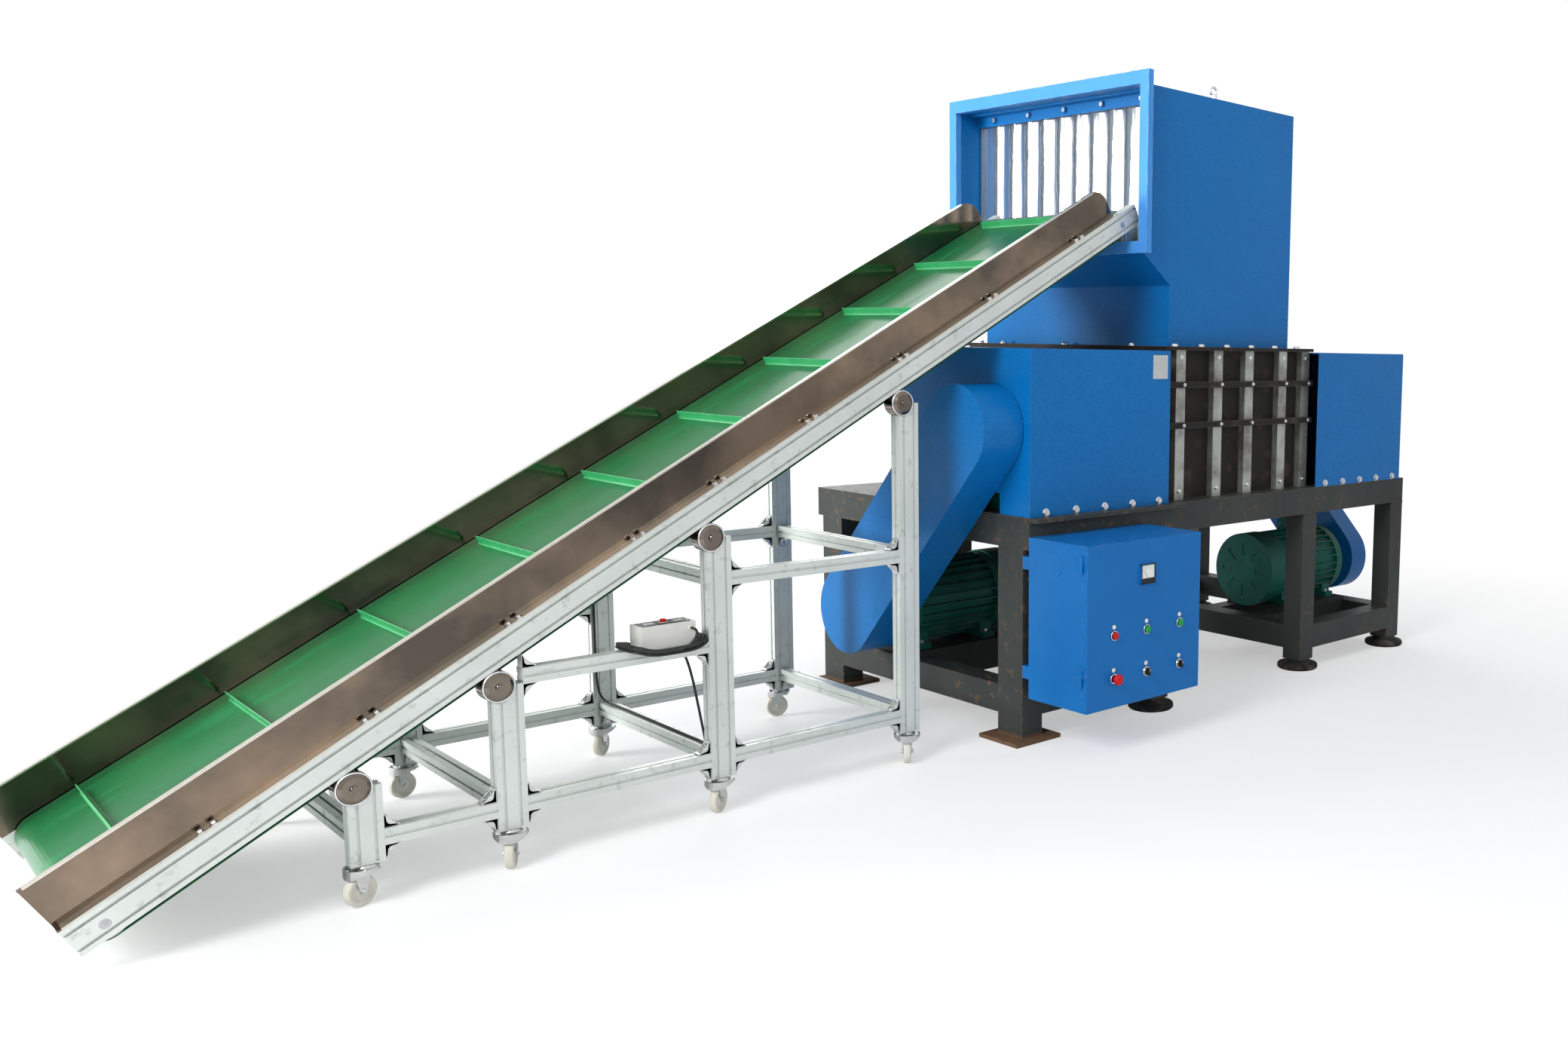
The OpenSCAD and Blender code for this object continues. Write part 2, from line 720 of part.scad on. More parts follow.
// Reducers: ribbed cast cases with bored bosses
// Half width of the case, width of its foot on each side, and thickness of the foot
reducer_half = 150;
reducer_foot = 50;
reducer_base = 25;
// Diameter and reach of the boss round the input shaft
boss_d = 150;
boss_out = 30;
module gear_reducers() {
    y = shaft_places[0];
    out = reducer_in + reducer_len;
    high = cover_top - 2 * boss_out;
    color([0.2, 0.33, 0.36])
    for (side = [0, 1]) at_drive(side)
    difference() {
        union() {
            slab([-out, y - reducer_half - reducer_foot, deck_z + weld],
                [-reducer_in, y + reducer_half + reducer_foot, deck_z + reducer_base]);
            slab([-out, y - reducer_half, deck_z + weld], [-reducer_in, y + reducer_half, high]);
            for (k = [1 : 4])
            translate([-out + k * reducer_len / 5, 0, 0])
                slab([-plate_t / 2, y - reducer_half - plate_t, deck_z + weld],
                    [plate_t / 2, y + reducer_half + plate_t, high + plate_t]);
            rod_x(boss_d, -out - boss_out, -out + boss_out, -top_pulley_y, shaft_z);
        }
        rod_x(input_d + 2 * run_gap, -out - boss_out - cut, -out + bore_depth, -top_pulley_y, shaft_z);
        rod_x(shaft_d + 2 * run_gap, -reducer_in - bore_depth, -reducer_in + cut, y, shaft_z);
    }
}

// Motors: finned body, end shields, fan cowl, feet, terminal box, lifting ring
// Distance from the machine centre to a motor's drive end, and length of an end shield
motor_end = 1195;
shield_len = 45;
// Number and thickness of the fins
motor_fins = 28;
fin_t = 5;
// Terminal box and one foot, along the motor, across it and upright
motor_box = [120, 110, 70];
motor_foot = [60, 300, 24];
// Bar of a lifting ring as a share of the ring, and air slots in the cowl as a share of its radius
eye_share = 0.22;
slot_share = 0.59;
cowl_slots = 8;
module drive_motors() {
    color([0.05, 0.38, 0.33])
    for (side = [0, 1]) at_drive(side)
    translate([-motor_end, motor_y, motor_z])
    difference() {
        union() {
            rod_x(motor_fin_d, 0, shield_len, 0, 0);
            rod_x(motor_d, 0, 2 * shield_len + motor_len, 0, 0);
            rod_x(motor_fin_d, shield_len + motor_len, 2 * shield_len + motor_len, 0, 0);
            along_x(shield_len - cut, shield_len + motor_len + cut)
            for (k = [0 : motor_fins - 1])
            rotate(k * 360 / motor_fins)
            translate([motor_fin_d / 4, 0]) square([motor_fin_d / 2, fin_t], center = true);
            translate([2 * shield_len + motor_len - cut, 0, 0]) rotate([0, 90, 0])
                cylinder(d = motor_fin_d + 2 * fin_t, h = cowl_len, $fn = round_fn);
            for (x = [shield_len, shield_len + motor_len - motor_foot[0]])
                slab([x, -motor_foot[1] / 2, -motor_centre_h + weld],
                    [x + motor_foot[0], motor_foot[1] / 2, -motor_centre_h + motor_foot[2]]);
            for (x = [shield_len, shield_len + motor_len - motor_foot[0]]) for (s = [-1, 1])
            translate([x, s * motor_d / 3, 0])
                slab([0, -motor_foot[2], -motor_centre_h + motor_foot[2] / 2],
                    [motor_foot[0], motor_foot[2], -motor_d / 3]);
            translate([shield_len + motor_len / 3, 0, motor_d / 2])
                slab([-motor_box[0] / 2, -motor_box[1] / 2, -2 * cut],
                    [motor_box[0] / 2, motor_box[1] / 2, motor_box[2]]);
            translate([shield_len + motor_len * 2 / 3, 0, motor_fin_d / 2]) {
                translate([0, 0, -2 * cut]) cylinder(d = eye_d * 2 / 3, h = 5 * cut, $fn = small_fn);
                eye_ring();
            }
        }
        rod_x(motor_shaft_d + 2 * run_gap, -cut, bore_depth, 0, 0);
        for (k = [0 : cowl_slots - 1]) rotate([k * 360 / cowl_slots, 0, 0])
        translate([2 * shield_len + motor_len + cowl_len, 0, slot_share * motor_fin_d / 2])
            cube([4 * cut, motor_foot[2], motor_d / 5], center = true);
    }
}

// Standing ring of a lifting eye, its foot on the plane z = 0
module eye_ring() {
    bar = eye_d * eye_share;
    translate([0, 0, eye_d / 2 + 2 * cut]) rotate([90, 0, 0])
    rotate_extrude($fn = small_fn) translate([(eye_d - bar) / 2, 0]) circle(d = bar, $fn = 16);
}

// Belt guards: flat obround pans with a back sheet
// Distance from the machine centre to the pulleys, middles of the lobes, planes of the backs
pulley_x = guard_reach - cover_t - pulley_w / 2 - 2 * cut;
guard_top_c = [-top_pulley_y, shaft_z];
guard_low_c = [motor_y, motor_z];
guard_back = [front_end + weld, rear_end + weld];
module belt_guards() {
    color([0.09, 0.36, 0.72])
    for (side = [0, 1]) at_drive(side)
    difference() {
        along_x(-guard_reach, -guard_back[side])
            obround(guard_top_c, guard_low_c, guard_top_d / 2, guard_low_d / 2);
        along_x(-guard_reach + cover_t, -guard_back[side] - cover_t)
            obround(guard_top_c, guard_low_c, guard_top_d / 2 - cover_t, guard_low_d / 2 - cover_t);
        rod_x(input_hole_d, -guard_back[side] - 2 * cut, -guard_back[side] + cut,
            guard_top_c[0], shaft_z);
        rod_x(input_hole_d, -guard_back[side] - 2 * cut, -guard_back[side] + cut, motor_y, motor_z);
    }
}

// V-belts in the grooves of the pulleys, and the pulleys with their shafts
// Depth of a belt's back below the rim, and clearance beside and under a belt
rim = 1;
belt_play = 0.5;
belt_step = pulley_w / belts;
module drive_belts() {
    big = reducer_pulley_d / 2 - rim;
    small = motor_pulley_d / 2 - rim;
    color([0.08, 0.08, 0.08])
    for (side = [0, 1]) at_drive(side)
    for (k = [0 : belts - 1])
    translate([-pulley_x - pulley_w / 2 + (k + 0.5) * belt_step, 0, 0])
    along_x(-belt_w / 2, belt_w / 2) difference() {
        obround(guard_top_c, guard_low_c, big, small);
        obround(guard_top_c, guard_low_c, big - belt_h, small - belt_h);
    }
}

module pulley_wheel(d) {
    groove_r = d / 2 - rim - belt_h - belt_play;
    half = belt_w / 2 + belt_play;
    rotate([0, 90, 0]) difference() {
        cylinder(d = d, h = pulley_w, center = true, $fn = round_fn);
        for (k = [0 : belts - 1])
        translate([0, 0, (k + 0.5) * belt_step - pulley_w / 2])
        rotate_extrude($fn = round_fn) translate([groove_r, -half]) square([d, 2 * half]);
    }
}

module reducer_pulley(side) {
    end = reducer_in + reducer_len - bore_depth + play;
    color([0.5, 0.5, 0.52]) at_drive(side) {
        translate([-pulley_x, -top_pulley_y, shaft_z]) pulley_wheel(reducer_pulley_d);
        rod_x(input_d, -pulley_x - pulley_w / 2 - cut, -end, -top_pulley_y, shaft_z);
    }
}

module motor_pulley(side) {
    color([0.5, 0.5, 0.52]) at_drive(side) {
        translate([-pulley_x, motor_y, motor_z]) pulley_wheel(motor_pulley_d);
        rod_x(motor_shaft_d, -pulley_x - pulley_w / 2 - cut, -motor_end + bore_depth - play,
            motor_y, motor_z);
    }
}

// Bolts of the machine and the lifting eye on the hopper
// Bolts along each side of the chamber flange and along each side of a cover
flange_bolts = 6;
cover_bolts = 5;
// Distance from the machine centre to the lifting eye
eye_x = 90;
module machine_bolts() {
    side_y = (chamber_half + hopper_half) / 2;
    front_x = (chamber_front + hopper_front) / 2;
    rear_x = (chamber_rear + hopper_rear) / 2;
    length = chamber_rear + chamber_front;
    cover_len = cover_reach[0] - chamber_front;
    rear_len = cover_reach[1] - chamber_rear;
    edge_z = deck_z + bolt_d;
    color([0.75, 0.75, 0.77]) {
        for (s = [-1, 1]) for (k = [0 : flange_bolts - 1])
        translate([-chamber_front + (k + 0.5) * length / flange_bolts, s * side_y, chamber_top + weld])
            bolt_head();
        for (x = [-front_x, rear_x]) for (k = [-1 : 1])
        translate([x, k * side_y * 2 / 3, chamber_top + weld]) bolt_head();
        for (k = [0 : cover_bolts - 1])
        translate([-cover_reach[0] + (k + 0.5) * cover_len / cover_bolts, -deck_half - weld, edge_z])
        rotate([90, 0, 0]) bolt_head();
        for (s = [-1, 1]) for (k = [0 : cover_bolts - 1])
        translate([chamber_rear + (k + 0.5) * rear_len / cover_bolts, s * (deck_half + weld), edge_z])
        rotate([s * -90, 0, 0]) bolt_head();
        translate([-eye_x, -hopper_half + eye_d / 2, hopper_top + weld]) {
            cylinder(d = eye_d * 2 / 3, h = 3 * cut, $fn = small_fn);
            eye_ring();
        }
    }
}

// Control cabinet: sheet body with a mounting plate, blanking disc and hinge barrels
// Barrel, length of the leaf, height of one half of a hinge, pin
hinge_d = 14;
hinge_leaf = 42;
hinge_part = 30;
hinge_pin = 8;
// Gap between a hinge barrel and the cabinet, as a share of the play
hinge_gap_share = 1.2;
hinge_x = cabinet_left - hinge_d / 2 - hinge_gap_share * play;
// Heights of the hinges, and place of the blanking disc along the depth and the height
hinge_shares = [0.16, 0.84];
blank_shares = [0.55, 0.85];
// Depth of the mounting plate with its spacers, and half height of the spacer bars
inner_plate_gap = 24;
// Places of the switchgear: the first one and the step, as shares of the width and the height
gear_place_share = [0.18, 0.3];
gear_step_share = [0.17, 0.35];
module cabinet() {
    top = cabinet_z + cabinet_h;
    front = door_back + play;
    t = cabinet_t;
    color([0.12, 0.42, 0.78]) difference() {
        union() {
            slab([cabinet_left, front, cabinet_z], [cabinet_right, cabinet_back, top]);
            rod_x(blank_d, cabinet_left - t / 2, cabinet_left + t / 2,
                cabinet_front + blank_shares[0] * cabinet_d, cabinet_z + blank_shares[1] * cabinet_h);
            for (share = hinge_shares)
                slab([cabinet_left - t / 2, front, cabinet_z + share * cabinet_h],
                    [cabinet_left + t / 2, front + hinge_leaf,
                     cabinet_z + share * cabinet_h + hinge_part]);
            for (share = hinge_shares) translate([0, 0, cabinet_z + share * cabinet_h]) {
                rod_z(hinge_d, 0, hinge_part, hinge_x, door_back);
                rod_z(hinge_pin, 0, 2 * hinge_part, hinge_x, door_back);
                slab([hinge_x, front + hinge_d / 4, 0],
                    [cabinet_left + t / 2, front + hinge_d / 4 + t, hinge_part]);
            }
        }
        slab([cabinet_left + t, front - cut, cabinet_z + t],
            [cabinet_right - t, cabinet_back - t, top - t]);
    }
    color([0.22, 0.2, 0.19])
    for (share = hinge_shares) translate([0, 0, cabinet_z + share * cabinet_h])
        slab([-front_end, cabinet_back + weld, -inner_plate_gap],
            [-front_end + leg_l, -front_leg_half - weld, inner_plate_gap]);
    color([0.8, 0.8, 0.8]) {
        inset = cabinet_w / 10;
        slab([cabinet_left + inset, cabinet_back - t - inner_plate_gap, cabinet_z + inset],
            [cabinet_right - inset, cabinet_back - t - weld, top - inset]);
        for (row = [0, 1]) for (k = [0 : 3])
        translate([cabinet_left + cabinet_w * (gear_place_share[0] + gear_step_share[0] * k),
            cabinet_back - t - inner_plate_gap - weld,
            cabinet_z + cabinet_h * (gear_place_share[1] + gear_step_share[1] * row)])
            slab([-inset / 2, -inset, -inset], [inset / 2, 0, inset]);
    }
}

// Places on the door, as shares of its width and height
control_shares = [[0.225, 0.443], [0.507, 0.443], [0.808, 0.443], [0.225, 0.18], [0.507, 0.18],
    [0.808, 0.18]];
meter_shares = [0.507, 0.787];
// Stem of a control, how far it reaches behind the door's face, and thickness of its bezel
stem_d = 22;
stem_in = 20;
bezel_t = 4;
function door_point(share) = [cabinet_left + share[0] * cabinet_w, cabinet_front,
    cabinet_z + share[1] * cabinet_h];

module cabinet_door() {
    t = cabinet_t;
    color([0.12, 0.42, 0.78]) difference() {
        union() {
            difference() {
                slab([cabinet_left, cabinet_front, cabinet_z],
                    [cabinet_right, door_back, cabinet_z + cabinet_h]);
                slab([cabinet_left + t, cabinet_front + t, cabinet_z + t],
                    [cabinet_right - t, door_back + cut, cabinet_z + cabinet_h - t]);
            }
            for (share = hinge_shares)
            translate([0, 0, cabinet_z + share * cabinet_h + hinge_part + play]) {
                rod_z(hinge_d, 0, hinge_part, hinge_x, door_back);
                slab([hinge_x, door_back - hinge_d / 4 - t, 0],
                    [cabinet_left + t / 2, door_back - hinge_d / 4, hinge_part]);
                slab([cabinet_left - t / 2, cabinet_front + t, 0],
                    [cabinet_left + t / 2, door_back - play, hinge_part]);
            }
        }
        for (share = hinge_shares)
            rod_z(hinge_pin + 2 * run_gap, cabinet_z + share * cabinet_h,
                cabinet_z + share * cabinet_h + 3 * hinge_part, hinge_x, door_back);
        for (share = control_shares) translate(door_point(share))
            rod_y(stem_d + 2 * run_gap, -cut, 2 * t, 0, 0);
    }
    color([0.75, 0.76, 0.78])
    for (share = control_shares) translate(door_point(share)) difference() {
        rod_y(button_d + 2 * bezel_t, -bezel_t, -weld, 0, 0);
        rod_y(stem_d + 2 * run_gap, -cut, cut, 0, 0);
    }
    color([0.2, 0.2, 0.22]) translate(door_point(meter_shares)) difference() {
        slab([-meter_w / 2, -2 * bezel_t, -meter_w / 2], [meter_w / 2, -weld, meter_w / 2]);
        slab([-meter_w / 2 + bezel_t, -2 * bezel_t - cut, -meter_w / 2 + bezel_t],
            [meter_w / 2 - bezel_t, -bezel_t, meter_w / 2 - bezel_t]);
    }
}

module push_button(n, tint) {
    cap_out = 2 * bezel_t + button_travel + play;
    color(tint) translate(door_point(control_shares[n])) {
        rod_y(stem_d, -cap_out + weld, stem_in, 0, 0);
        translate([0, -cap_out + bezel_t, 0]) rotate([90, 0, 0])
            cylinder(d1 = button_d, d2 = button_d - bezel_t, h = bezel_t, $fn = round_fn);
    }
}

module emergency_stop() {
    head_t = stop_h / 2;
    color([0.8, 0.08, 0.08]) translate(door_point(control_shares[3])) {
        rod_y(stem_d, -head_t - cut, stem_in, 0, 0);
        rod_y(stop_d, -head_t - head_t * 2 / 3, -head_t, 0, 0);
        translate([0, -head_t - head_t * 2 / 3, 0]) rotate([90, 0, 0])
            cylinder(d1 = stop_d, d2 = stop_d * 2 / 3, h = head_t / 3, $fn = round_fn);
    }
}

module selector(n) {
    color([0.1, 0.1, 0.11]) translate(door_point(control_shares[n])) {
        rod_y(stem_d, -2 * bezel_t, stem_in, 0, 0);
        rod_y(button_d, -3 * bezel_t, -bezel_t - play, 0, 0);
        slab([-bezel_t, -stop_h / 2 - bezel_t, -button_d / 2 + weld],
            [bezel_t, -2 * bezel_t, button_d / 2 - weld]);
    }
}

// Conveyor, drawn level along X with the head pulley's axis at the origin, then tilted
module incline() {
    translate([-head_x, -conveyor_y, head_z]) rotate([0, -slope, 0]) children();
}

function incline_z(x, n) = head_z + (x + head_x) * tan(slope) + n / cos(slope);

axle_d = 25;
// Gap between the belt's edge and a guard
belt_side = 7.5;
// Slots of the beams and profiles, and their distance from the beam's middle as a share of its height
groove_w = 8;
groove_d = 9;
groove_share = 0.3;
tail_s = -conveyor_len - tail_run;
inner_half = conveyor_w / 2 - beam_w;
module beam_profile() {
    mid = (beam_top_n + beam_low_n) / 2;
    difference() {
        translate([-conveyor_w / 2, beam_low_n]) square([beam_w, beam_h]);
        for (s = [-1, 1]) translate([-conveyor_w / 2, mid + s * groove_share * beam_h])
            square([2 * groove_d, groove_w], center = true);
        translate([-conveyor_w / 2 + beam_w / 2, beam_low_n])
            square([groove_w, 2 * groove_d], center = true);
    }
}

// Gland under the far beam where the lead goes in: its size, its place and the height of its foot
gland_d = 18;
gland_h = 16;
lead_x = -2470;
lead_end_z = 881;
module conveyor_beams() {
    color([0.8, 0.81, 0.8]) difference() {
        union() {
            for (s = [0, 1]) incline() mirror([0, s, 0]) along_x(tail_s, head_run) beam_profile();
            rod_z(gland_d, lead_end_z, lead_end_z + 2 * gland_h + cut, lead_x,
                conveyor_far - beam_w / 2);
        }
        incline() for (s = [0, -conveyor_len])
            rod_y(axle_d + 2 * run_gap, -conveyor_w, conveyor_w, s, 0);
    }
}

// Side guards of polished sheet: round at the head, with a lip returned outwards at the top
guard_end_r = 70;
guard_lip = 14;
// Pairs of guard bolts, as shares of the conveyor's length down from the head
guard_bolt_shares = [0.06, 0.19, 0.31, 0.42, 0.52, 0.60, 0.71, 0.82, 0.93];
module conveyor_guards() {
    low = beam_top_n + weld;
    top = beam_top_n + guard_h;
    end = -guard_t;
    wall = inner_half + guard_t;
    color([0.6, 0.58, 0.55]) incline() for (s = [0, 1]) mirror([0, s, 0]) difference() {
        along_x(tail_s, end) {
            translate([-conveyor_w / 2 + guard_t, low]) square([beam_w - guard_t, guard_t]);
            translate([-wall, low]) square([guard_t, top - low]);
            translate([-wall - guard_lip, top - guard_t]) square([guard_lip + guard_t, guard_t]);
        }
        translate([end - guard_end_r, 0, top - guard_end_r]) difference() {
            slab([0, -conveyor_w, 0], [guard_end_r + cut, 0, guard_end_r + cut]);
            rod_y(2 * guard_end_r, -conveyor_w - cut, cut, 0, 0);
        }
    }
    color([0.8, 0.8, 0.8]) incline() for (s = [0, 1]) mirror([0, s, 0])
    for (share = guard_bolt_shares) for (k = [-1, 1])
    translate([-share * conveyor_len + k * bolt_d, -conveyor_w / 2 + bolt_d, low + guard_t + weld])
        bolt_head(bolt_d * small_bolt_share);
}

// Slider bed under the belt, and the cross ties that carry it between the beams
bed_t = 6;
bed_ties = 6;
module conveyor_bed() {
    top = pulley_d / 2 - belt_t - play;
    length = conveyor_len - pulley_d - 2 * cut;
    start = -conveyor_len + pulley_d / 2 + cut;
    half = inner_half - weld;
    color([0.62, 0.63, 0.65]) incline() {
        slab([start, -half, top - bed_t], [start + length, half, top]);
        for (k = [0 : bed_ties - 1])
        translate([start + (k + 0.5) * length / bed_ties, 0, 0])
            slab([-beam_w / 3, -half, -beam_w / 2], [beam_w / 3, half, top - bed_t - weld]);
    }
}

// Belt with its cleats: thickness of a cleat, and distance from the head to the first one
cleat_t = 5;
first_cleat = 75;
module conveyor_belt() {
    half = inner_half - belt_side;
    r = pulley_d / 2;
    color([0.03, 0.4, 0.2]) incline() {
        along_y(-half, half) difference() {
            obround([0, 0], [-conveyor_len, 0], r, r);
            obround([0, 0], [-conveyor_len, 0], r - belt_t, r - belt_t);
        }
        for (s = [0, 1]) mirror([0, 0, s])
        for (x = [first_cleat : cleat_pitch : conveyor_len])
            slab([-x - cleat_t / 2, -half + cleat_inset, r - belt_t / 2],
                [-x + cleat_t / 2, half - cleat_inset, r + cleat_h]);
    }
}

// End pulley on its axle, at the distance s along the conveyor
module end_pulley(s) {
    color([0.5, 0.5, 0.5]) incline() {
        rod_y(pulley_d - 2 * belt_t - 2 * play, -inner_half + belt_side, inner_half - belt_side, s, 0);
        rod_y(axle_d, -conveyor_w / 2, conveyor_w / 2, s, 0);
    }
}

// Stand of slotted profile: posts, rails, cross rails, corner brackets, caster plates
// Places of the leg pairs as shares of the stand's length, and shift of the pivots from them
post_shares = [0, 0.212, 0.583, 1];
pivot_back = 25;
// Undersides of the rails, and thickness of the plate over a caster
low_rail_z = 152;
mid_rail_z = 522;
top_rail_z = 728;
caster_plate_t = 5;
stand_start = stand_mid_x + stand_len / 2;
function post_x(k) = -stand_start + post_shares[k] * stand_len;
pivot_n = beam_low_n - pivot_d / 2 - weld;
function pivot_z(k) = incline_z(post_x(k) - pivot_back, pivot_n);
near_y = conveyor_near + post_w / 2;
far_y = conveyor_far - post_w / 2;

// Slotted bar, its length along Z
module slotted_bar(l, w, h) {
    linear_extrude(h) difference() {
        square([l, w], center = true);
        for (s = [-1, 1]) {
            translate([0, s * w / 2]) for (k = l > w + cut ? [-1, 1] : [0])
                translate([k * l / 4, 0]) square([groove_w, groove_d], center = true);
            translate([s * l / 2, 0]) square([groove_d, groove_w], center = true);
        }
    }
}

module rail_x(from, to, y, z) {
    translate([from, y, z + rail_w / 2]) rotate([0, 90, 0]) slotted_bar(rail_w, rail_w, to - from);
}

module rail_y(x, z) {
    from = near_y + post_w / 2 + weld;
    translate([x, from, z + rail_w / 2]) rotate([-90, 0, 0])
        slotted_bar(rail_w, rail_w, far_y - post_w / 2 - weld - from);
}

// Corner bracket under a rail, against a post on its left or right
bracket = 38;
module corner(x, y, z, way) {
    along_y(y - rail_w / 3, y + rail_w / 3)
        polygon([[x, z], [x + way * bracket, z], [x, z - bracket]]);
}

module stand_bay(a, b, z) {
    from = post_x(a) + post_l / 2 + weld;
    to = post_x(b) - post_l / 2 - weld;
    for (y = [near_y, far_y]) {
        rail_x(from, to, y, z);
        corner(from, y, z - weld, 1);
        corner(to, y, z - weld, -1);
    }
}

module stand_frame() {
    color([0.72, 0.74, 0.74]) {
        for (k = [0 : 3]) for (y = [near_y, far_y]) {
            difference() {
                translate([post_x(k), y, caster_h + weld])
                    slotted_bar(post_l, post_w, pivot_z(k) - caster_h - weld);
                rod_y(pivot_d + 2 * weld, y - post_w, y + post_w, post_x(k) - pivot_back, pivot_z(k));
            }
            slab([post_x(k) - post_l / 2, y - post_w / 2, caster_h - caster_plate_t],
                [post_x(k) + post_l / 2, y + post_w / 2, caster_h]);
        }
        for (k = [0 : 2]) stand_bay(k, k + 1, low_rail_z);
        stand_bay(1, 2, mid_rail_z);
        stand_bay(2, 3, top_rail_z);
        for (k = [0 : 3]) rail_y(post_x(k), low_rail_z);
        for (k = [2, 3]) rail_y(post_x(k), top_rail_z);
    }
}

// Pivot joints that carry the beams: a disc through each post and a low dome on its outside
dome_share = 1 / 9;
module pivot_discs() {
    dome = pivot_d * dome_share;
    color([0.4, 0.38, 0.36])
    for (k = [0 : 3]) for (s = [-1, 1])
    translate([post_x(k) - pivot_back, s < 0 ? near_y : far_y, pivot_z(k)]) {
        rod_y(pivot_d, -post_w / 2, post_w / 2, 0, 0);
        rotate([s * -90, 0, 0]) translate([0, 0, post_w / 2 - weld])
            cylinder(d1 = pivot_d, d2 = pivot_d * 2 / 3, h = dome, $fn = round_fn);
        rotate([s * -90, 0, 0]) translate([0, 0, post_w / 2 + dome - weld])
            bolt_head(bolt_d * pivot_bolt_share);
    }
}

// Casters: swivel fork and wheel, each turned its own way at rest
caster_turns = [20, 60, 35, 55, -30, 15, 40, -20];
// Trail of the axle behind the swivel, thickness of the fork, its axle and its swivel ring
caster_trail = 22;
fork_t = 3;
caster_axle_d = 8;
fork_ring_d = 48;
module at_caster(n) {
    translate([post_x(n % 4), n < 4 ? near_y : far_y, 0]) rotate([0, 0, caster_turns[n]]) children();
}

module caster_fork(n) {
    crown = wheel_d + fork_t;
    top = caster_h - caster_plate_t - play;
    gap = wheel_w / 2 + play;
    color([0.75, 0.75, 0.77]) at_caster(n) {
        rod_z(fork_ring_d, crown, top, 0, 0);
        slab([-2 * caster_trail, -gap - fork_t, crown], [0, gap + fork_t, crown + 2 * fork_t]);
        for (s = [-1, 1]) along_y(s * (gap + fork_t / 2) - fork_t / 2, s * (gap + fork_t / 2) + fork_t / 2)
            polygon([[0, crown + fork_t], [-2 * caster_trail, crown + fork_t],
                [-caster_trail - caster_axle_d, wheel_d / 2 - caster_axle_d],
                [-caster_trail + caster_axle_d, wheel_d / 2 - caster_axle_d]]);
        rod_y(caster_axle_d, -gap - 2 * fork_t, gap + 2 * fork_t, -caster_trail, wheel_d / 2);
    }
}

module caster_wheel(n) {
    edge = wheel_w / 5;
    r = wheel_d / 2;
    color([0.85, 0.83, 0.75]) at_caster(n)
    translate([-caster_trail, 0, r]) rotate([90, 0, 0]) rotate_extrude($fn = round_fn)
        polygon([[caster_axle_d / 2 + run_gap, -wheel_w / 2], [r - edge, -wheel_w / 2],
            [r, -wheel_w / 2 + edge], [r, wheel_w / 2 - edge], [r - edge, wheel_w / 2],
            [caster_axle_d / 2 + run_gap, wheel_w / 2]]);
}

// Control box on the near rail beside the third post
// Gap to the post, wall, gland with its place on the box, button
box_gap = 50;
box_wall = 3;
box_gland_d = 14;
box_gland_h = 8;
box_gland_inset = 18;
box_gland_z = 49;
box_button_d = 20;
box_z = mid_rail_z + rail_w + weld;
box_right = post_x(2) - post_l / 2 - box_gap;
box_mid = box_right - box_l / 2;
module control_box() {
    top = box_z + box_h;
    color([0.9, 0.9, 0.88]) difference() {
        union() {
            slab([box_right - box_l, near_y - box_w / 2, box_z], [box_right, near_y + box_w / 2, top]);
            rod_y(box_gland_d, near_y - box_w / 2 - box_gland_h, near_y,
                box_right - box_gland_inset, box_z + box_gland_z);
            rod_z(box_button_d + 2 * box_wall, top - box_wall, top + box_wall, box_mid, near_y);
        }
        slab([box_right - box_l + box_wall, near_y - box_w / 2 + box_wall, box_z + box_wall],
            [box_right - box_wall, near_y + box_w / 2 - box_wall, top - box_wall]);
        rod_z(box_button_d + 2 * run_gap, top - 2 * box_wall, top + 2 * box_wall, box_mid, near_y);
    }
}

module control_box_button() {
    top = box_z + box_h + box_wall;
    color([0.85, 0.1, 0.08]) {
        rod_z(box_button_d, top - 5 * box_wall, top + 2 * box_wall, box_mid, near_y);
        translate([box_mid, near_y, top + 2 * box_wall])
            cylinder(d1 = box_button_d, d2 = box_button_d / 2, h = box_wall, $fn = round_fn);
    }
}

// Cable coil: loops around the box that spiral in, climb a layer, and spiral out again
// Turns, step between loops and between layers, gap to the box, and droop of the loops
coil_turns = cable_loops + 1 / 2;
coil_pitch = 9.2;
coil_layer = 9.2;
coil_clear = 10;
coil_droop = 18;
// Rings in a loop, and sides of the tube
loop_rings = 24;
coil_sides = 6;
coil_half = coil_turns / 2;
function spread(v) = sign(v) * sqrt(abs(v));
function coil_point(t) =
    let (a = 90 + 360 * t, out = coil_pitch * abs(coil_half - t),
         climb = min(1, max(0, 2 * (t - coil_half) + 1 / 2)),
         rx = box_l / 2 + cable_d / 2 + coil_clear + out,
         ry = box_w / 2 + cable_d / 2 + coil_clear + out)
    [box_mid + rx * spread(cos(a)), near_y + ry * spread(sin(a)),
     box_z + cable_d / 2 + coil_layer * climb - coil_droop * pow(sin(a), 4)];
coil_count = coil_turns * loop_rings;
coil_route = let (first = coil_point(0), last = coil_point(coil_turns))
    concat([first + [cable_d, 0, 0]],
        [for (k = [0 : coil_count]) coil_point(k / loop_rings)],
        [last + [cable_d, 0, 0]]);
function piece_gap(p, a, b) =
    let (d = b - a, t = max(0, min(1, (p - a) * d / (d * d)))) norm(p - a - t * d);
coil_gap = min([for (i = [0 : coil_count]) for (j = [i + loop_rings / 2 : coil_count + 1])
    piece_gap(coil_route[i], coil_route[j], coil_route[j + 1])]) - cable_d;
echo(coil_gap = coil_gap);

// Tube of straight-edged rings swept along a list of points
function way(p, i) =
    let (d = p[min(i + 1, len(p) - 1)] - p[max(i - 1, 0)]) d / norm(d);
function upright(n, t) = let (m = n - (n * t) * t) m / norm(m);
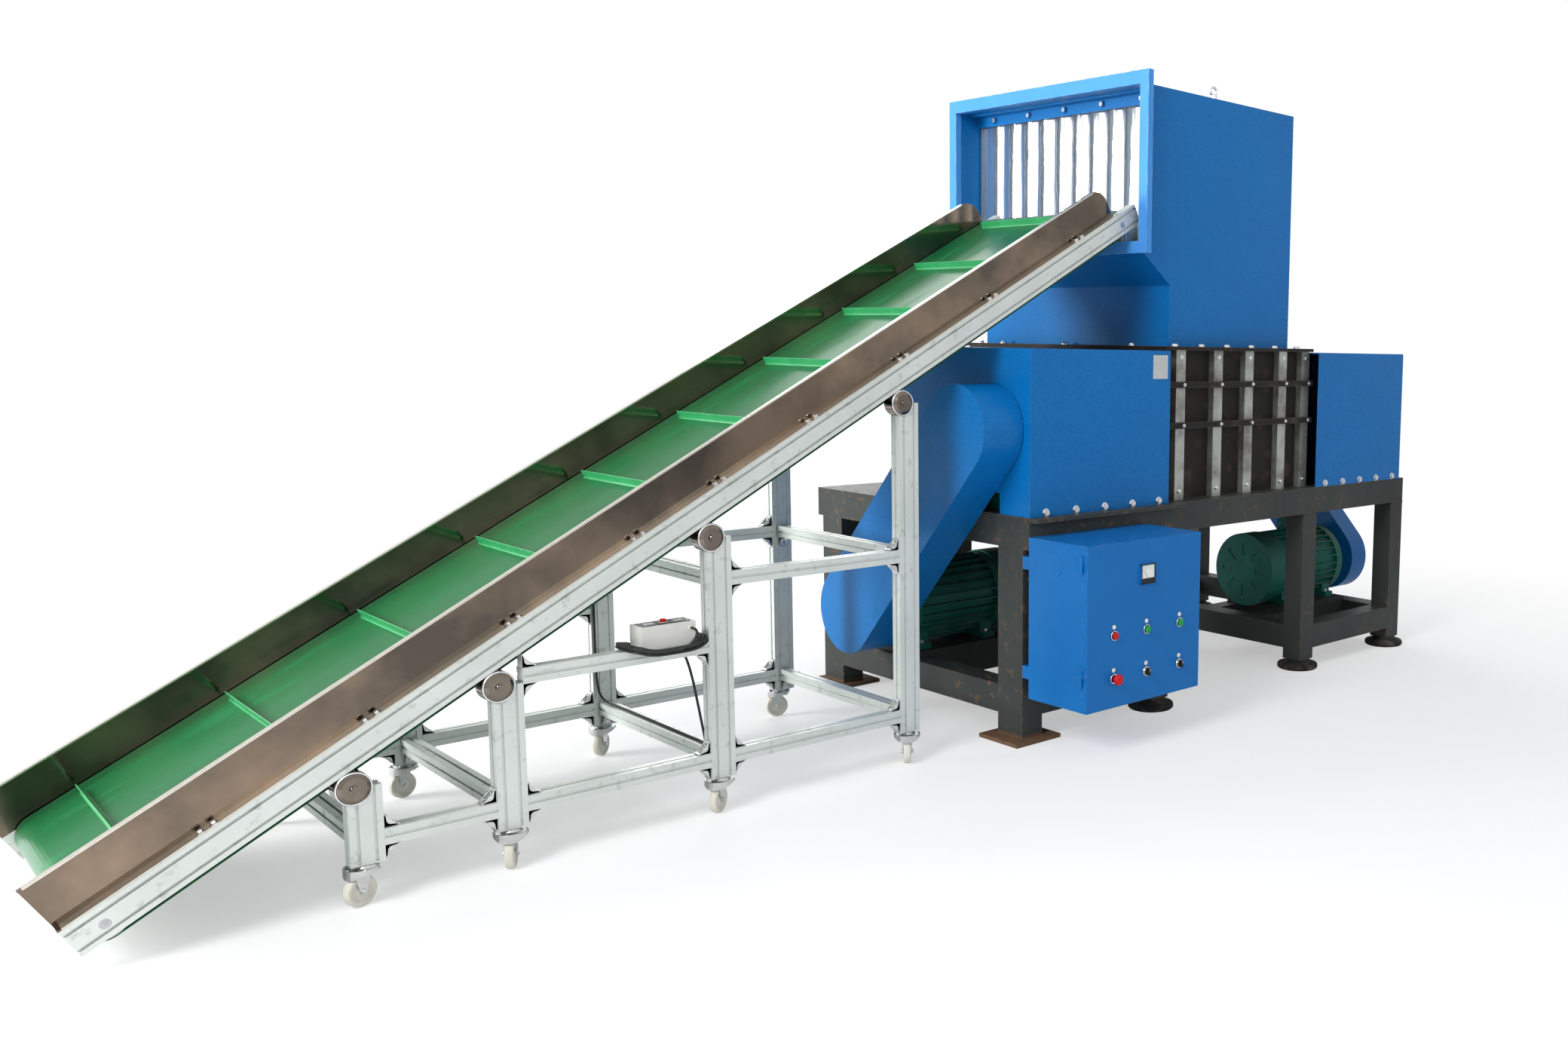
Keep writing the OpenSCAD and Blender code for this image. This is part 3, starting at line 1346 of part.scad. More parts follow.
// Direction that the first ring's seam is turned to
seam_way = [0, 0.3, 1];
module tube(p, d, sides) {
    normals = [for (i = 0, n = upright(seam_way, way(p, 0)); i < len(p);
        i = i + 1, n = i < len(p) ? upright(n, way(p, i)) : n) n];
    rings = [for (i = [0 : len(p) - 1]) for (k = [0 : sides - 1])
        let (a = k * 360 / sides, n = normals[i])
            p[i] + d / 2 * (n * cos(a) + cross(way(p, i), n) * sin(a))];
    last = (len(p) - 1) * sides;
    walls = [for (i = [0 : len(p) - 2]) for (k = [0 : sides - 1])
        let (a = i * sides + k, b = i * sides + (k + 1) % sides)
        each [[a, a + sides, b + sides], [a, b + sides, b]]];
    polyhedron(rings, concat([[for (k = [0 : sides - 1]) k]],
        [[for (k = [sides - 1 : -1 : 0]) last + k]], walls));
}

module cable_coil() {
    color([0.06, 0.06, 0.06]) tube(coil_route, cable_d, coil_sides);
}

// Lead from the coil down to the low cross rail, across it and up the far post to its gland
// Rings between two of its points, and sides of the tube
lead_steps = 3;
lead_sides = 8;
lead_points = [[-2500, -449, 548], [-2468, -463, 532], [-2448, -467, 490], [-2432, -470, 425],
    [-2418, -472, 345], [-2406, -473, 275], [-2394, -466, 225], [-2384, -440, 204],
    [-2380, -400, 201.5], [-2380, -310, 201.5], [-2380, -210, 201.5], [-2380, -110, 201.5],
    [-2380, -10, 201.5], [-2380, 90, 201.5], [-2382, 180, 201.5], [-2390, 235, 206],
    [-2402, 262, 232], [-2408, 271, 290], [-2409, 273, 390], [-2409, 273, 490],
    [-2409, 273, 590], [-2410, 273, 690], [-2422, 274, 750], [-2450, 284, 795],
    [-2467, 300, 835]];
arch_points = [[-2530, -609.5, 565], [-2513, -612, 573], [-2500, -616, 587], [-2492, -617, 600],
    [-2487, -610, 611], [-2485, -598, 615], [-2485, -586, 616.2]];
function smooth_point(a, b, c, d, t) = (2 * b + (c - a) * t + (2 * a - 5 * b + 4 * c - d) * t * t
    + (3 * b - a - 3 * c + d) * t * t * t) / 2;
function smoothed(p, steps) = concat([for (i = [0 : len(p) - 2]) for (s = [0 : steps - 1])
    smooth_point(p[max(i - 1, 0)], p[i], p[i + 1], p[min(i + 2, len(p) - 1)], s / steps)],
    [p[len(p) - 1]]);
module cable_lead() {
    coil_start = coil_route[0] + [weld, 0, 0];
    coil_end = coil_route[len(coil_route) - 1] + [weld, 0, 0];
    far = [lead_x, conveyor_far - beam_w / 2, lead_end_z - weld];
    near = [box_right - box_gland_inset, near_y - box_w / 2 - box_gland_h - weld,
        box_z + box_gland_z];
    color([0.06, 0.06, 0.06]) {
        tube(concat([coil_start, coil_start + [cable_d, 0, 0]], smoothed(lead_points, lead_steps),
            [far - [0, 0, cable_d], far]), cable_d, lead_sides);
        tube(concat([coil_end, coil_end + [cable_d, 0, 0]], arch_points,
            [near - [0, cable_d / 2, 0], near]), cable_d, lead_sides);
    }
}

// Everything stands on the ground with its middle over the origin
module placed() {
    translate([-mid_x, -mid_y, 0]) children();
}

placed() base_frame();
placed() machine_feet();
placed() chamber();
placed() shaft_bearings();
placed() screen();
placed() hopper();
placed() infeed_flange();
placed() curtain_bar();
placed() curtain_strips();
placed() front_gear_cover();
placed() rear_gear_cover();
placed() gear_reducers();
placed() drive_motors();
placed() drive_belts();
placed() belt_guards();
placed() machine_bolts();
placed() cutter_shaft(0);  // cutter_shaft_1
placed() cutter_shaft(1);  // cutter_shaft_2
placed() cutter_shaft(2);  // cutter_shaft_3
placed() cutter_shaft(3);  // cutter_shaft_4
placed() reducer_pulley(0);  // front_reducer_pulley
placed() reducer_pulley(1);  // rear_reducer_pulley
placed() motor_pulley(0);  // front_motor_pulley
placed() motor_pulley(1);  // rear_motor_pulley
placed() cabinet();
placed() cabinet_door();
placed() push_button(0, [0.8, 0.1, 0.1]);  // stop_button
placed() push_button(1, [0.1, 0.6, 0.25]);  // start_button_1
placed() push_button(2, [0.1, 0.6, 0.25]);  // start_button_2
placed() emergency_stop();
placed() selector(4);  // selector_1
placed() selector(5);  // selector_2
placed() conveyor_beams();
placed() conveyor_guards();
placed() conveyor_bed();
placed() conveyor_belt();
placed() end_pulley(0);  // head_pulley
placed() end_pulley(-conveyor_len);  // tail_pulley
placed() stand_frame();
placed() pivot_discs();
placed() caster_fork(0);  // caster_fork_1
placed() caster_fork(1);  // caster_fork_2
placed() caster_fork(2);  // caster_fork_3
placed() caster_fork(3);  // caster_fork_4
placed() caster_fork(4);  // caster_fork_5
placed() caster_fork(5);  // caster_fork_6
placed() caster_fork(6);  // caster_fork_7
placed() caster_fork(7);  // caster_fork_8
placed() caster_wheel(0);  // caster_wheel_1
placed() caster_wheel(1);  // caster_wheel_2
placed() caster_wheel(2);  // caster_wheel_3
placed() caster_wheel(3);  // caster_wheel_4
placed() caster_wheel(4);  // caster_wheel_5
placed() caster_wheel(5);  // caster_wheel_6
placed() caster_wheel(6);  // caster_wheel_7
placed() caster_wheel(7);  // caster_wheel_8
placed() control_box();
placed() control_box_button();
placed() cable_coil();
placed() cable_lead();
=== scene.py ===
import math
import random

import bmesh
import bpy
from mathutils import Matrix, Vector


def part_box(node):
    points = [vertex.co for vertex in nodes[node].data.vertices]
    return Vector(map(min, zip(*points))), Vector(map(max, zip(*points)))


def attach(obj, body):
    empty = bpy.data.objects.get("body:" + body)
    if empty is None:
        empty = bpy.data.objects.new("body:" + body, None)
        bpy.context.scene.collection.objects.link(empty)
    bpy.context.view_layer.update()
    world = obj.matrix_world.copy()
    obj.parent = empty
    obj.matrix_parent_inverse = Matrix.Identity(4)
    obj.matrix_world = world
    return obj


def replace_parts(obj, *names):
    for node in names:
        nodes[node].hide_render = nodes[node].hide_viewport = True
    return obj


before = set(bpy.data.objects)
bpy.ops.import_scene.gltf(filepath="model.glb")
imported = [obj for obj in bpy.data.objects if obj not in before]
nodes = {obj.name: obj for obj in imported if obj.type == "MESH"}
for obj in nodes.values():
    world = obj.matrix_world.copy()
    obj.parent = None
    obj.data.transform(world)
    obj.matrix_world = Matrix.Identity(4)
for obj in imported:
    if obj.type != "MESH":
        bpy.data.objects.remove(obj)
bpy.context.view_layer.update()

# The camera stands where the photograph was taken: 1.5 m above the floor, looking along
# the conveyor towards the machine, with the picture's centre shifted off the optical axis.
EYE = Vector((-3.123555, -4.2219, 1.5))
YAW, DOWN, ROLL = math.radians(41.83), math.radians(6.93), math.radians(1.07)
PHOTO_W, PHOTO_H, SENSOR_MM = 2080, 1386, 36
FOCAL_PX, AXIS_X_PX, AXIS_Y_PX = 1764.5, 1577.0, 674.3
ahead = Vector((math.cos(YAW) * math.cos(DOWN), math.sin(YAW) * math.cos(DOWN), -math.sin(DOWN)))
level = Vector((math.sin(YAW), -math.cos(YAW), 0.0))
below = ahead.cross(level)
right = level * math.cos(ROLL) - below * math.sin(ROLL)
down = level * math.sin(ROLL) + below * math.cos(ROLL)


def put(name, data):
    obj = bpy.data.objects.new(name, data)
    bpy.context.scene.collection.objects.link(obj)
    return obj


camera = put("camera", bpy.data.cameras.new("camera"))
camera.matrix_world = Matrix.Translation(EYE) @ Matrix((right, -down, -ahead)).transposed().to_4x4()
camera.data.sensor_width = SENSOR_MM
camera.data.lens = FOCAL_PX / PHOTO_W * SENSOR_MM
camera.data.shift_x = 0.5 - AXIS_X_PX / PHOTO_W
camera.data.shift_y = (AXIS_Y_PX - PHOTO_H / 2) / PHOTO_W
camera.data.clip_end = 200
bpy.context.scene.camera = camera
bpy.context.scene.view_settings.view_transform = "Standard"


# Every finish is built from shader signals: a wrapped socket can be added, multiplied and
# compared like a number, and one method makes any other node.
class Signal:
    def __init__(self, tree, socket):
        self.tree, self.socket = tree, socket

    def math(self, operation, other=0.0, clamp=False, flipped=False):
        n = self.tree.nodes.new("ShaderNodeMath")
        n.operation, n.use_clamp = operation, clamp
        for slot, value in zip(n.inputs, (other, self) if flipped else (self, other)):
            plug(self.tree, slot, value)
        return Signal(self.tree, n.outputs[0])

    def __add__(self, other):
        return self.math("ADD", other)

    def __sub__(self, other):
        return self.math("SUBTRACT", other)

    def __rsub__(self, other):
        return self.math("SUBTRACT", other, flipped=True)

    def __mul__(self, other):
        return self.math("MULTIPLY", other)

    def above(self, edge, width):
        return ((self - edge) * (1 / width)).math("ADD", clamp=True)

    __radd__ = __add__
    __rmul__ = __mul__


def plug(tree, slot, value):
    if isinstance(value, Signal):
        tree.links.new(value.socket, slot)
    else:
        slot.default_value = value


SHEEN, NOISE_ROUGHNESS = 0.18, 0.55


class Finish:
    def __init__(self, name):
        self.material = bpy.data.materials.new(name)
        self.material.use_nodes = True
        self.tree = self.material.node_tree
        self.shader = self.tree.nodes["Principled BSDF"]
        self.place = self.node("ShaderNodeTexCoord", out="Object")
        self.set(Specular_IOR_Level=SHEEN)

    def node(self, kind, inputs=(), out=0, **settings):
        n = self.tree.nodes.new(kind)
        for key, value in settings.items():
            setattr(n, key, value)
        for key, value in dict(inputs).items():
            plug(self.tree, n.inputs[key], value)
        return Signal(self.tree, n.outputs[out])

    def noise(self, scale, detail=3.0, stretch=(1, 1, 1)):
        where = self.node("ShaderNodeMapping", {"Vector": self.place, "Scale": stretch})
        return self.node("ShaderNodeTexNoise", {"Vector": where, "Scale": scale, "Detail": detail,
                                                "Roughness": NOISE_ROUGHNESS})

    def edges(self, radius):
        soft = self.node("ShaderNodeBevel", {"Radius": radius}, samples=4)
        hard = self.node("ShaderNodeNewGeometry", out="Normal")
        same = self.node("ShaderNodeVectorMath", {0: soft, 1: hard}, out="Value",
                         operation="DOT_PRODUCT")
        return (1 - same).above(0.02, 0.12)

    def mix(self, mask, a, b):
        return self.node("ShaderNodeMix", {0: mask, 6: a, 7: b}, out=2, data_type="RGBA")

    def bump(self, height, strength, distance):
        normal = self.node("ShaderNodeBump", {"Height": height, "Strength": strength,
                                              "Distance": distance})
        self.set(Normal=normal)

    def set(self, **sockets):
        for key, value in sockets.items():
            plug(self.tree, self.shader.inputs[key.replace("_", " ")], value)


def rgb(red, green, blue):
    return (red, green, blue, 1.0)


def plain(name, grain, dark, light, rough, bump, **sockets):
    finish = Finish(name)
    signal = finish.noise(*grain)
    finish.set(Base_Color=finish.mix(signal, rgb(*dark), rgb(*light)), Roughness=rough[0] + signal * rough[1],
               **sockets)
    finish.bump(signal, *bump)
    return finish


def dress(finish, *names):
    for name in names:
        data = nodes[name].data
        data.materials.clear()
        data.materials.append(finish.material)


def piece(name, mesh, finish, body, smooth=True, bevel=0.0):
    for face in mesh.faces:
        face.smooth = smooth
    data = bpy.data.meshes.new(name)
    mesh.normal_update()
    mesh.to_mesh(data)
    mesh.free()
    data.materials.append(finish.material)
    obj = put(name, data)
    if bevel:
        edge = obj.modifiers.new("rounded_edges", "BEVEL")
        edge.width, edge.segments, edge.limit_method = bevel, 2, "ANGLE"
        edge.harden_normals = True
    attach(obj, body)
    return obj


# Floor and lamps: a plain pale floor, a white surround and soft lamps, the strongest on the
# conveyor side, as the light falls in the photograph.
FLOOR_SIZE, FLOOR_DROP = 80.0, 0.0005
floor_mesh = bmesh.new()
bmesh.ops.create_grid(floor_mesh, x_segments=1, y_segments=1, size=FLOOR_SIZE / 2)
floor_data = bpy.data.meshes.new("floor")
floor_mesh.to_mesh(floor_data)
floor_mesh.free()
floor = put("floor", floor_data)
floor.location.z = -FLOOR_DROP
floor_paint = Finish("floor_paint")
floor_grain = floor_paint.noise(3.0, 2.0)
floor_paint.set(Base_Color=floor_paint.mix(floor_grain, rgb(0.93, 0.93, 0.93), rgb(0.96, 0.96, 0.96)),
                Roughness=0.85, Specular_IOR_Level=0.1)
FLOOR_NEAR, FLOOR_FADE, FLOOR_LIFT = 2.4, 5.0, 0.45
floor_far = floor_paint.node("ShaderNodeVectorMath", {0: floor_paint.place}, out="Value", operation="LENGTH")
floor_seen = floor_paint.node("ShaderNodeLightPath", out="Is Camera Ray")
floor_white = floor_paint.node("ShaderNodeEmission", {"Color": rgb(1.0, 1.0, 1.0), "Strength": 1.0})
floor_lift = ((floor_far - FLOOR_NEAR) * (1 / FLOOR_FADE) + FLOOR_LIFT).math("MAXIMUM", FLOOR_LIFT)
floor_blend = floor_paint.node("ShaderNodeMixShader", {
    0: floor_lift.math("MINIMUM", 1.0) * floor_seen,
    1: Signal(floor_paint.tree, floor_paint.shader.outputs[0]), 2: floor_white})
floor_out = floor_paint.tree.nodes["Material Output"].inputs["Surface"]
floor_paint.tree.links.new(floor_blend.socket, floor_out)
floor_data.materials.append(floor_paint.material)

world = bpy.data.worlds.new("surround")
world.use_nodes = True
bpy.context.scene.world = world
sky = world.node_tree
back = sky.nodes["Background"]
back.inputs["Strength"].default_value = 1.0
seen = sky.nodes.new("ShaderNodeLightPath")
camera_ray, through_ray, glossy_ray = (Signal(sky, seen.outputs[kind]) for kind in (
    "Is Camera Ray", "Is Transmission Ray", "Is Glossy Ray"))
pick = sky.nodes.new("ShaderNodeMix")
pick.data_type = "RGBA"
plug(sky, pick.inputs[0], camera_ray.math("MAXIMUM", through_ray).math("MAXIMUM", glossy_ray))
plug(sky, pick.inputs[6], rgb(0.50, 0.51, 0.53))
plug(sky, pick.inputs[7], rgb(1.0, 1.0, 1.0))
sky.links.new(pick.outputs[2], back.inputs["Color"])


def lamp(name, place, target, size, watts):
    data = bpy.data.lights.new(name, "AREA")
    data.shape, data.size, data.energy = "DISK", size, watts
    obj = put(name, data)
    obj.location = place
    obj.rotation_euler = (Vector(target) - Vector(place)).to_track_quat("-Z", "Y").to_euler()


lamp("key_lamp", (-7.5, -2.2, 6.0), (0.6, 0.0, 1.2), 4.0, 560)
lamp("side_lamp", (-7.0, 3.6, 2.4), (1.2, 0.0, 1.2), 3.0, 620)
lamp("front_lamp", (-1.5, -8.0, 4.0), (0.8, 0.0, 1.0), 5.0, 90)
lamp("back_lamp", (4.0, 7.5, 5.0), (0.0, 0.0, 1.0), 5.0, 220)

# Cable of the control box: black rubber, wound six and a half times round the box, with a lead
# over the low cross rail and up the far post, and a short arch into the box's own gland.
# Places on the object are metres from MACHINE, the middle of the machine on the ground.
CABLE_D = 0.008
guard_low, guard_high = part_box("belt_guards")
MACHINE = Vector(((guard_low.x + guard_high.x) / 2, (guard_low.y + guard_high.y) / 2, 0.0))


def at(x, y, z=0.0):
    return MACHINE + Vector((x, y, z))


BOX_MID = Vector((-2.55258, -0.528, 0.5672))
BOX_L, BOX_W = 0.172, 0.075
COIL_TURNS, COIL_PITCH, COIL_LAYER = 6.5, 0.0092, 0.0092
COIL_CLEAR, COIL_DROOP = 0.010, 0.018
cable_rubber = Finish("cable_rubber")
cable_dust = cable_rubber.noise(40.0)
cable_rubber.set(Base_Color=cable_rubber.mix(cable_dust, rgb(0.012, 0.012, 0.013), rgb(0.05, 0.05, 0.05)),
                 Roughness=0.35 + cable_dust * 0.25)
cable_rubber.bump(cable_rubber.noise(300.0), 0.15, 0.0005)


def bowed(value):
    return math.copysign(math.sqrt(abs(value)), value)


def coil_point(turn):
    angle = math.radians(90 + 360 * turn)
    out = COIL_PITCH * abs(COIL_TURNS / 2 - turn)
    climb = min(1, max(0, 2 * (turn - COIL_TURNS / 2) + 0.5))
    return BOX_MID + at(
        (BOX_L / 2 + CABLE_D / 2 + COIL_CLEAR + out) * bowed(math.cos(angle)),
        (BOX_W / 2 + CABLE_D / 2 + COIL_CLEAR + out) * bowed(math.sin(angle)),
        CABLE_D / 2 + COIL_LAYER * climb - COIL_DROOP * math.sin(angle) ** 4)


LEAD = [(-2500, -449, 548), (-2468, -463, 532), (-2448, -467, 490), (-2432, -470, 425),
        (-2418, -472, 345), (-2406, -473, 275), (-2394, -466, 225), (-2384, -440, 204),
        (-2380, -400, 201.5), (-2380, -310, 201.5), (-2380, -210, 201.5), (-2380, -110, 201.5),
        (-2380, -10, 201.5), (-2380, 90, 201.5), (-2382, 180, 201.5), (-2390, 235, 206),
        (-2402, 262, 232), (-2408, 271, 290), (-2409, 273, 390), (-2409, 273, 490),
        (-2409, 273, 590), (-2410, 273, 690), (-2422, 274, 750), (-2450, 284, 795),
        (-2467, 300, 835), (-2470, 305, 873), (-2470, 305, 880.8)]
ARCH = [(-2530, -609.5, 565), (-2513, -612, 573), (-2500, -616, 587), (-2492, -617, 600),
        (-2487, -610, 611), (-2485, -598, 615), (-2485, -586, 616.2), (-2484.6, -577.7, 616.2),
        (-2484.6, -573.7, 616.2)]
MM, COIL_STEPS, LINE_STEPS = 0.001, 48, 6


def smooth_line(points, steps):
    line = []
    for i in range(len(points) - 1):
        a, b, c, d = (points[min(max(i + k, 0), len(points) - 1)] for k in (-1, 0, 1, 2))
        for s in range(steps):
            t = s / steps
            line.append(0.5 * (2 * b + (c - a) * t + (2 * a - 5 * b + 4 * c - d) * t * t
                               + (3 * b - a - 3 * c + d) * t * t * t))
    return line + [points[-1]]


lead_line = [Vector(p) * MM + MACHINE for p in LEAD]
arch_line = [Vector(p) * MM + MACHINE for p in ARCH]
coil_line = [coil_point(k / COIL_STEPS) for k in range(int(COIL_TURNS * COIL_STEPS) + 1)]
run_in = [coil_line[0] + Vector((2 * CABLE_D, 0, 0)), coil_line[0] + Vector((CABLE_D, 0, 0))]
run_out = [coil_line[-1] + Vector((CABLE_D, 0, 0)), coil_line[-1] + Vector((2 * CABLE_D, 0, 0))]
route = (smooth_line(lead_line[::-1] + run_in, LINE_STEPS) + coil_line
         + smooth_line(run_out + arch_line, LINE_STEPS))
cable_curve = bpy.data.curves.new("control_cable", "CURVE")
cable_curve.dimensions = "3D"
cable_curve.bevel_depth = CABLE_D / 2
cable_curve.bevel_resolution = 4
cable_curve.use_fill_caps = True
cable_spline = cable_curve.splines.new("POLY")
cable_spline.points.add(len(route) - 1)
for point, place in zip(cable_spline.points, route):
    point.co = (*place, 1)
cable_spline.use_smooth = True
cable_curve.materials.append(cable_rubber.material)
cable = put("control_cable", cable_curve)
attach(cable, "root")
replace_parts(cable, "cable_coil", "cable_lead")
cable_length = sum((b - a).length for a, b in zip(route, route[1:]))

# Base frame: welded box beams in dark grey-brown shop paint, rusting at the edges and most of
# all on the foot plates; the deck and legs carry the whole machine.
frame_paint = Finish("frame_paint")
frame_grime = frame_paint.noise(2.2, 6.0, (1, 1, 0.35))
frame_spots = frame_paint.noise(28.0, 5.0)
frame_height = frame_paint.node("ShaderNodeSeparateXYZ", {0: frame_paint.place}, out=2)
frame_low = 1 - frame_height.above(0.012, 0.02)
frame_rust = (frame_spots.above(0.56, 0.1) * frame_grime.above(0.5, 0.15) * 0.8
              + frame_paint.edges(0.006) * frame_spots.above(0.42, 0.1) * 0.7
              + frame_low * 0.9).math("MINIMUM", 1.0)
frame_tint = frame_paint.mix(frame_grime, rgb(0.012, 0.013, 0.012), rgb(0.060, 0.070, 0.066))
frame_rust_tint = frame_paint.mix(frame_spots, rgb(0.10, 0.045, 0.022), rgb(0.22, 0.13, 0.075))
frame_paint.set(Base_Color=frame_paint.mix(frame_rust, frame_tint, frame_rust_tint),
                Roughness=0.42 + frame_rust * 0.4 + frame_spots * 0.1)
frame_paint.bump(frame_spots * 0.6 + frame_rust * 0.4, 0.35, 0.002)
dress(frame_paint, "base_frame")


def block(mesh, low, high):
    middle = (Vector(low) + Vector(high)) / 2
    size = Vector(high) - Vector(low)
    bmesh.ops.create_cube(mesh, size=1.0, matrix=Matrix.Translation(middle)
                          @ Matrix.Diagonal((*size, 1.0)))


def turned_rings(mesh, profile, place, axis, sides):
    turn = Vector((0, 0, 1)).rotation_difference(Vector(axis)).to_matrix()
    return [[mesh.verts.new(Vector(place) + turn @ Vector((
        radius * math.cos(math.tau * k / sides), radius * math.sin(math.tau * k / sides), height)))
        for k in range(sides if radius > 0 else 1)] for radius, height in profile]


def bridge(mesh, rings):
    for a, b in zip(rings, rings[1:]):
        for k in range(len(a)):
            n = (k + 1) % len(a)
            mesh.faces.new((a[k], a[n], b[n], b[k]))


def lathe(mesh, profile, place, axis=(0, 0, 1), sides=40):
    rings = turned_rings(mesh, profile, place, axis, sides)
    for lower, upper in zip(rings, rings[1:]):
        if len(lower) == len(upper):
            bridge(mesh, (lower, upper))
            continue
        for k in range(sides):
            n = (k + 1) % sides
            cone = (lower[0], upper[n], upper[k]) if len(lower) == 1 else (lower[k], lower[n], upper[0])
            mesh.faces.new(cone)


def hex_bolt(mesh, place, axis, size=0.016):
    lathe(mesh, [(0, 0), (size, 0), (size, size * 0.15), (size * 0.6, size * 0.15), (0, size * 0.15)],
          place, axis, 24)
    lathe(mesh, [(0, 0), (size * 0.84, 0), (size * 0.84, size * 0.52), (size * 0.7, size * 0.64),
                 (0, size * 0.64)], Vector(place) + Vector(axis) * size * 0.14, axis, 6)


# Weld beads: a rippled run of weld metal in the corner where each leg meets the deck beam.
weld_bead = bmesh.new()
DECK_UNDER, DECK_HALF, BEAD_R, BEAD_IN, RIPPLES = 0.740, 0.695, 0.006, 0.002, 12
LEG_L, LEG_XS = 0.100, (-0.555, 0.455, 1.184)
BEAD = [(0, -BEAD_R), (BEAD_R, -BEAD_R * 0.3), (BEAD_R, BEAD_R * 0.3), (0, BEAD_R)]
for leg_x in LEG_XS:
    for side in (-1, 1):
        for step in range(RIPPLES):
            x = leg_x + LEG_L * (step + 0.5) / RIPPLES
            lathe(weld_bead, BEAD, at(x, side * (DECK_HALF - BEAD_IN), DECK_UNDER), (1, 0, 0), 8)
piece("leg_weld_beads", weld_bead, frame_paint, "root")

# Feet: round rubber pads that the legs stand on; their pressed steel cap and levelling stud are drawn only as
# a narrower top in the same rubber finish.
foot_rubber = Finish("foot_rubber")
foot_dust = foot_rubber.noise(18.0, 5.0)
foot_rubber.set(Base_Color=foot_rubber.mix(foot_dust.above(0.45, 0.3), rgb(0.012, 0.012, 0.012),
                                           rgb(0.09, 0.08, 0.07)), Roughness=0.6 + foot_dust * 0.3)
foot_rubber.bump(foot_dust, 0.3, 0.002)
FOOT_R, FOOT_H, FOOT_XS, FOOT_Y = 0.095, 0.045, (-0.505, 0.505, 1.234), 0.645
foot_pads = bmesh.new()
for place in [at(x, side * FOOT_Y) for x in FOOT_XS for side in (-1, 1)]:
    lathe(foot_pads, [(0, 0), (FOOT_R - 0.006, 0), (FOOT_R, 0.006), (FOOT_R, 0.018), (FOOT_R - 0.004, 0.024),
                      (FOOT_R - 0.012, 0.026), (0.058, 0.036), (0.056, FOOT_H), (0, FOOT_H)], place)
    lathe(foot_pads, [(FOOT_R - 0.001, 0.009), (FOOT_R, 0.011), (FOOT_R - 0.001, 0.013)], place)
pads = piece("machine_foot_pads", foot_pads, foot_rubber, "root", bevel=0.0)
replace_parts(pads, "machine_feet")

# Cutting chamber: dark welded box whose recessed side walls are stiffened by upright ribs of
# bare steel and two bars across them, with a small bolt at each crossing.
chamber_steel = Finish("chamber_steel")
chamber_wear = chamber_steel.noise(9.0, 6.0)
chamber_grain = chamber_steel.noise(60.0, 4.0, (1, 1, 0.05))
chamber_edge = chamber_steel.edges(0.004)
across = chamber_steel.node("ShaderNodeSeparateXYZ", {0: chamber_steel.place}, out=1)
upward = chamber_steel.node("ShaderNodeSeparateXYZ", {0: chamber_steel.place}, out=2)
from_middle = (across - MACHINE.y).math("ABSOLUTE")
WALL_FACE, RIB_FACE, RIB_TOP, SHARP = 0.6091, 0.63915, 1.4859, 0.00005
on_rib = (from_middle.above(WALL_FACE, SHARP) * (1 - from_middle.above(RIB_FACE, SHARP))
          * (1 - upward.above(RIB_TOP, SHARP)))
chamber_dark = chamber_steel.mix(chamber_wear.above(0.55, 0.2), rgb(0.012, 0.010, 0.009),
                                 rgb(0.055, 0.042, 0.03))
chamber_bare = chamber_steel.mix(chamber_wear.above(0.42, 0.3), rgb(0.42, 0.43, 0.40), rgb(0.15, 0.14, 0.12))
chamber_rubbed = chamber_steel.mix(chamber_edge * 0.5, chamber_dark, rgb(0.16, 0.14, 0.13))
chamber_steel.set(
    Base_Color=chamber_steel.mix(on_rib, chamber_rubbed, chamber_bare),
    Metallic=on_rib * 0.75, Roughness=0.38 + chamber_wear * 0.25 - on_rib * 0.16 + chamber_grain * 0.1)
chamber_steel.bump(chamber_wear * 0.7 + chamber_grain * 0.3, 0.3, 0.003)
dress(chamber_steel, "chamber", "screen")
rib_bolts = bmesh.new()
CHAMBER_FRONT, CHAMBER_REAR, CHAMBER_HALF, CHAMBER_FLOOR = -0.455, 0.540, 0.661, 0.861
CROSS_Z, RIB_SHARES = (1.1729, 1.3419), (0.11, 0.35, 0.56, 0.80, 0.97)
for side in (-1, 1):
    for share in RIB_SHARES:
        x = CHAMBER_FRONT + share * (CHAMBER_REAR - CHAMBER_FRONT)
        for z in CROSS_Z:
            hex_bolt(rib_bolts, at(x, side * CHAMBER_HALF, z), (0, side, 0), 0.008)
        for z in (CHAMBER_FLOOR + 0.035, RIB_TOP - 0.03):
            hex_bolt(rib_bolts, at(x, side * (RIB_FACE - 0.0001), z), (0, side, 0), 0.010)
zinc = plain("zinc_plate", (90.0, 4.0), (0.55, 0.56, 0.58), (0.83, 0.84, 0.86),
             (0.16, 0.2), (0.15, 0.0005), Metallic=1.0)
dress(zinc, "machine_bolts")
piece("chamber_rib_bolts", rib_bolts, zinc, "root", smooth=False)

# Shafts, bearings and cutters: ground steel that is oily and dark between the discs, with
# bright worn tips on the claws.
cutter_steel = Finish("cutter_steel")
cutter_oil = cutter_steel.noise(14.0, 5.0)
cutter_grind = cutter_steel.noise(220.0, 3.0, (0.05, 1, 1))
cutter_tip = cutter_steel.edges(0.006)
cutter_steel.set(Base_Color=cutter_steel.mix(cutter_oil.above(0.4, 0.3), rgb(0.34, 0.33, 0.32),
                                             rgb(0.12, 0.10, 0.09)),
                 Metallic=0.9, Roughness=0.28 + cutter_oil * 0.25 - cutter_tip * 0.12)
cutter_steel.bump(cutter_grind, 0.15, 0.0006)
dress(cutter_steel, *[f"cutter_shaft_{n}" for n in range(1, 5)], "shaft_bearings")

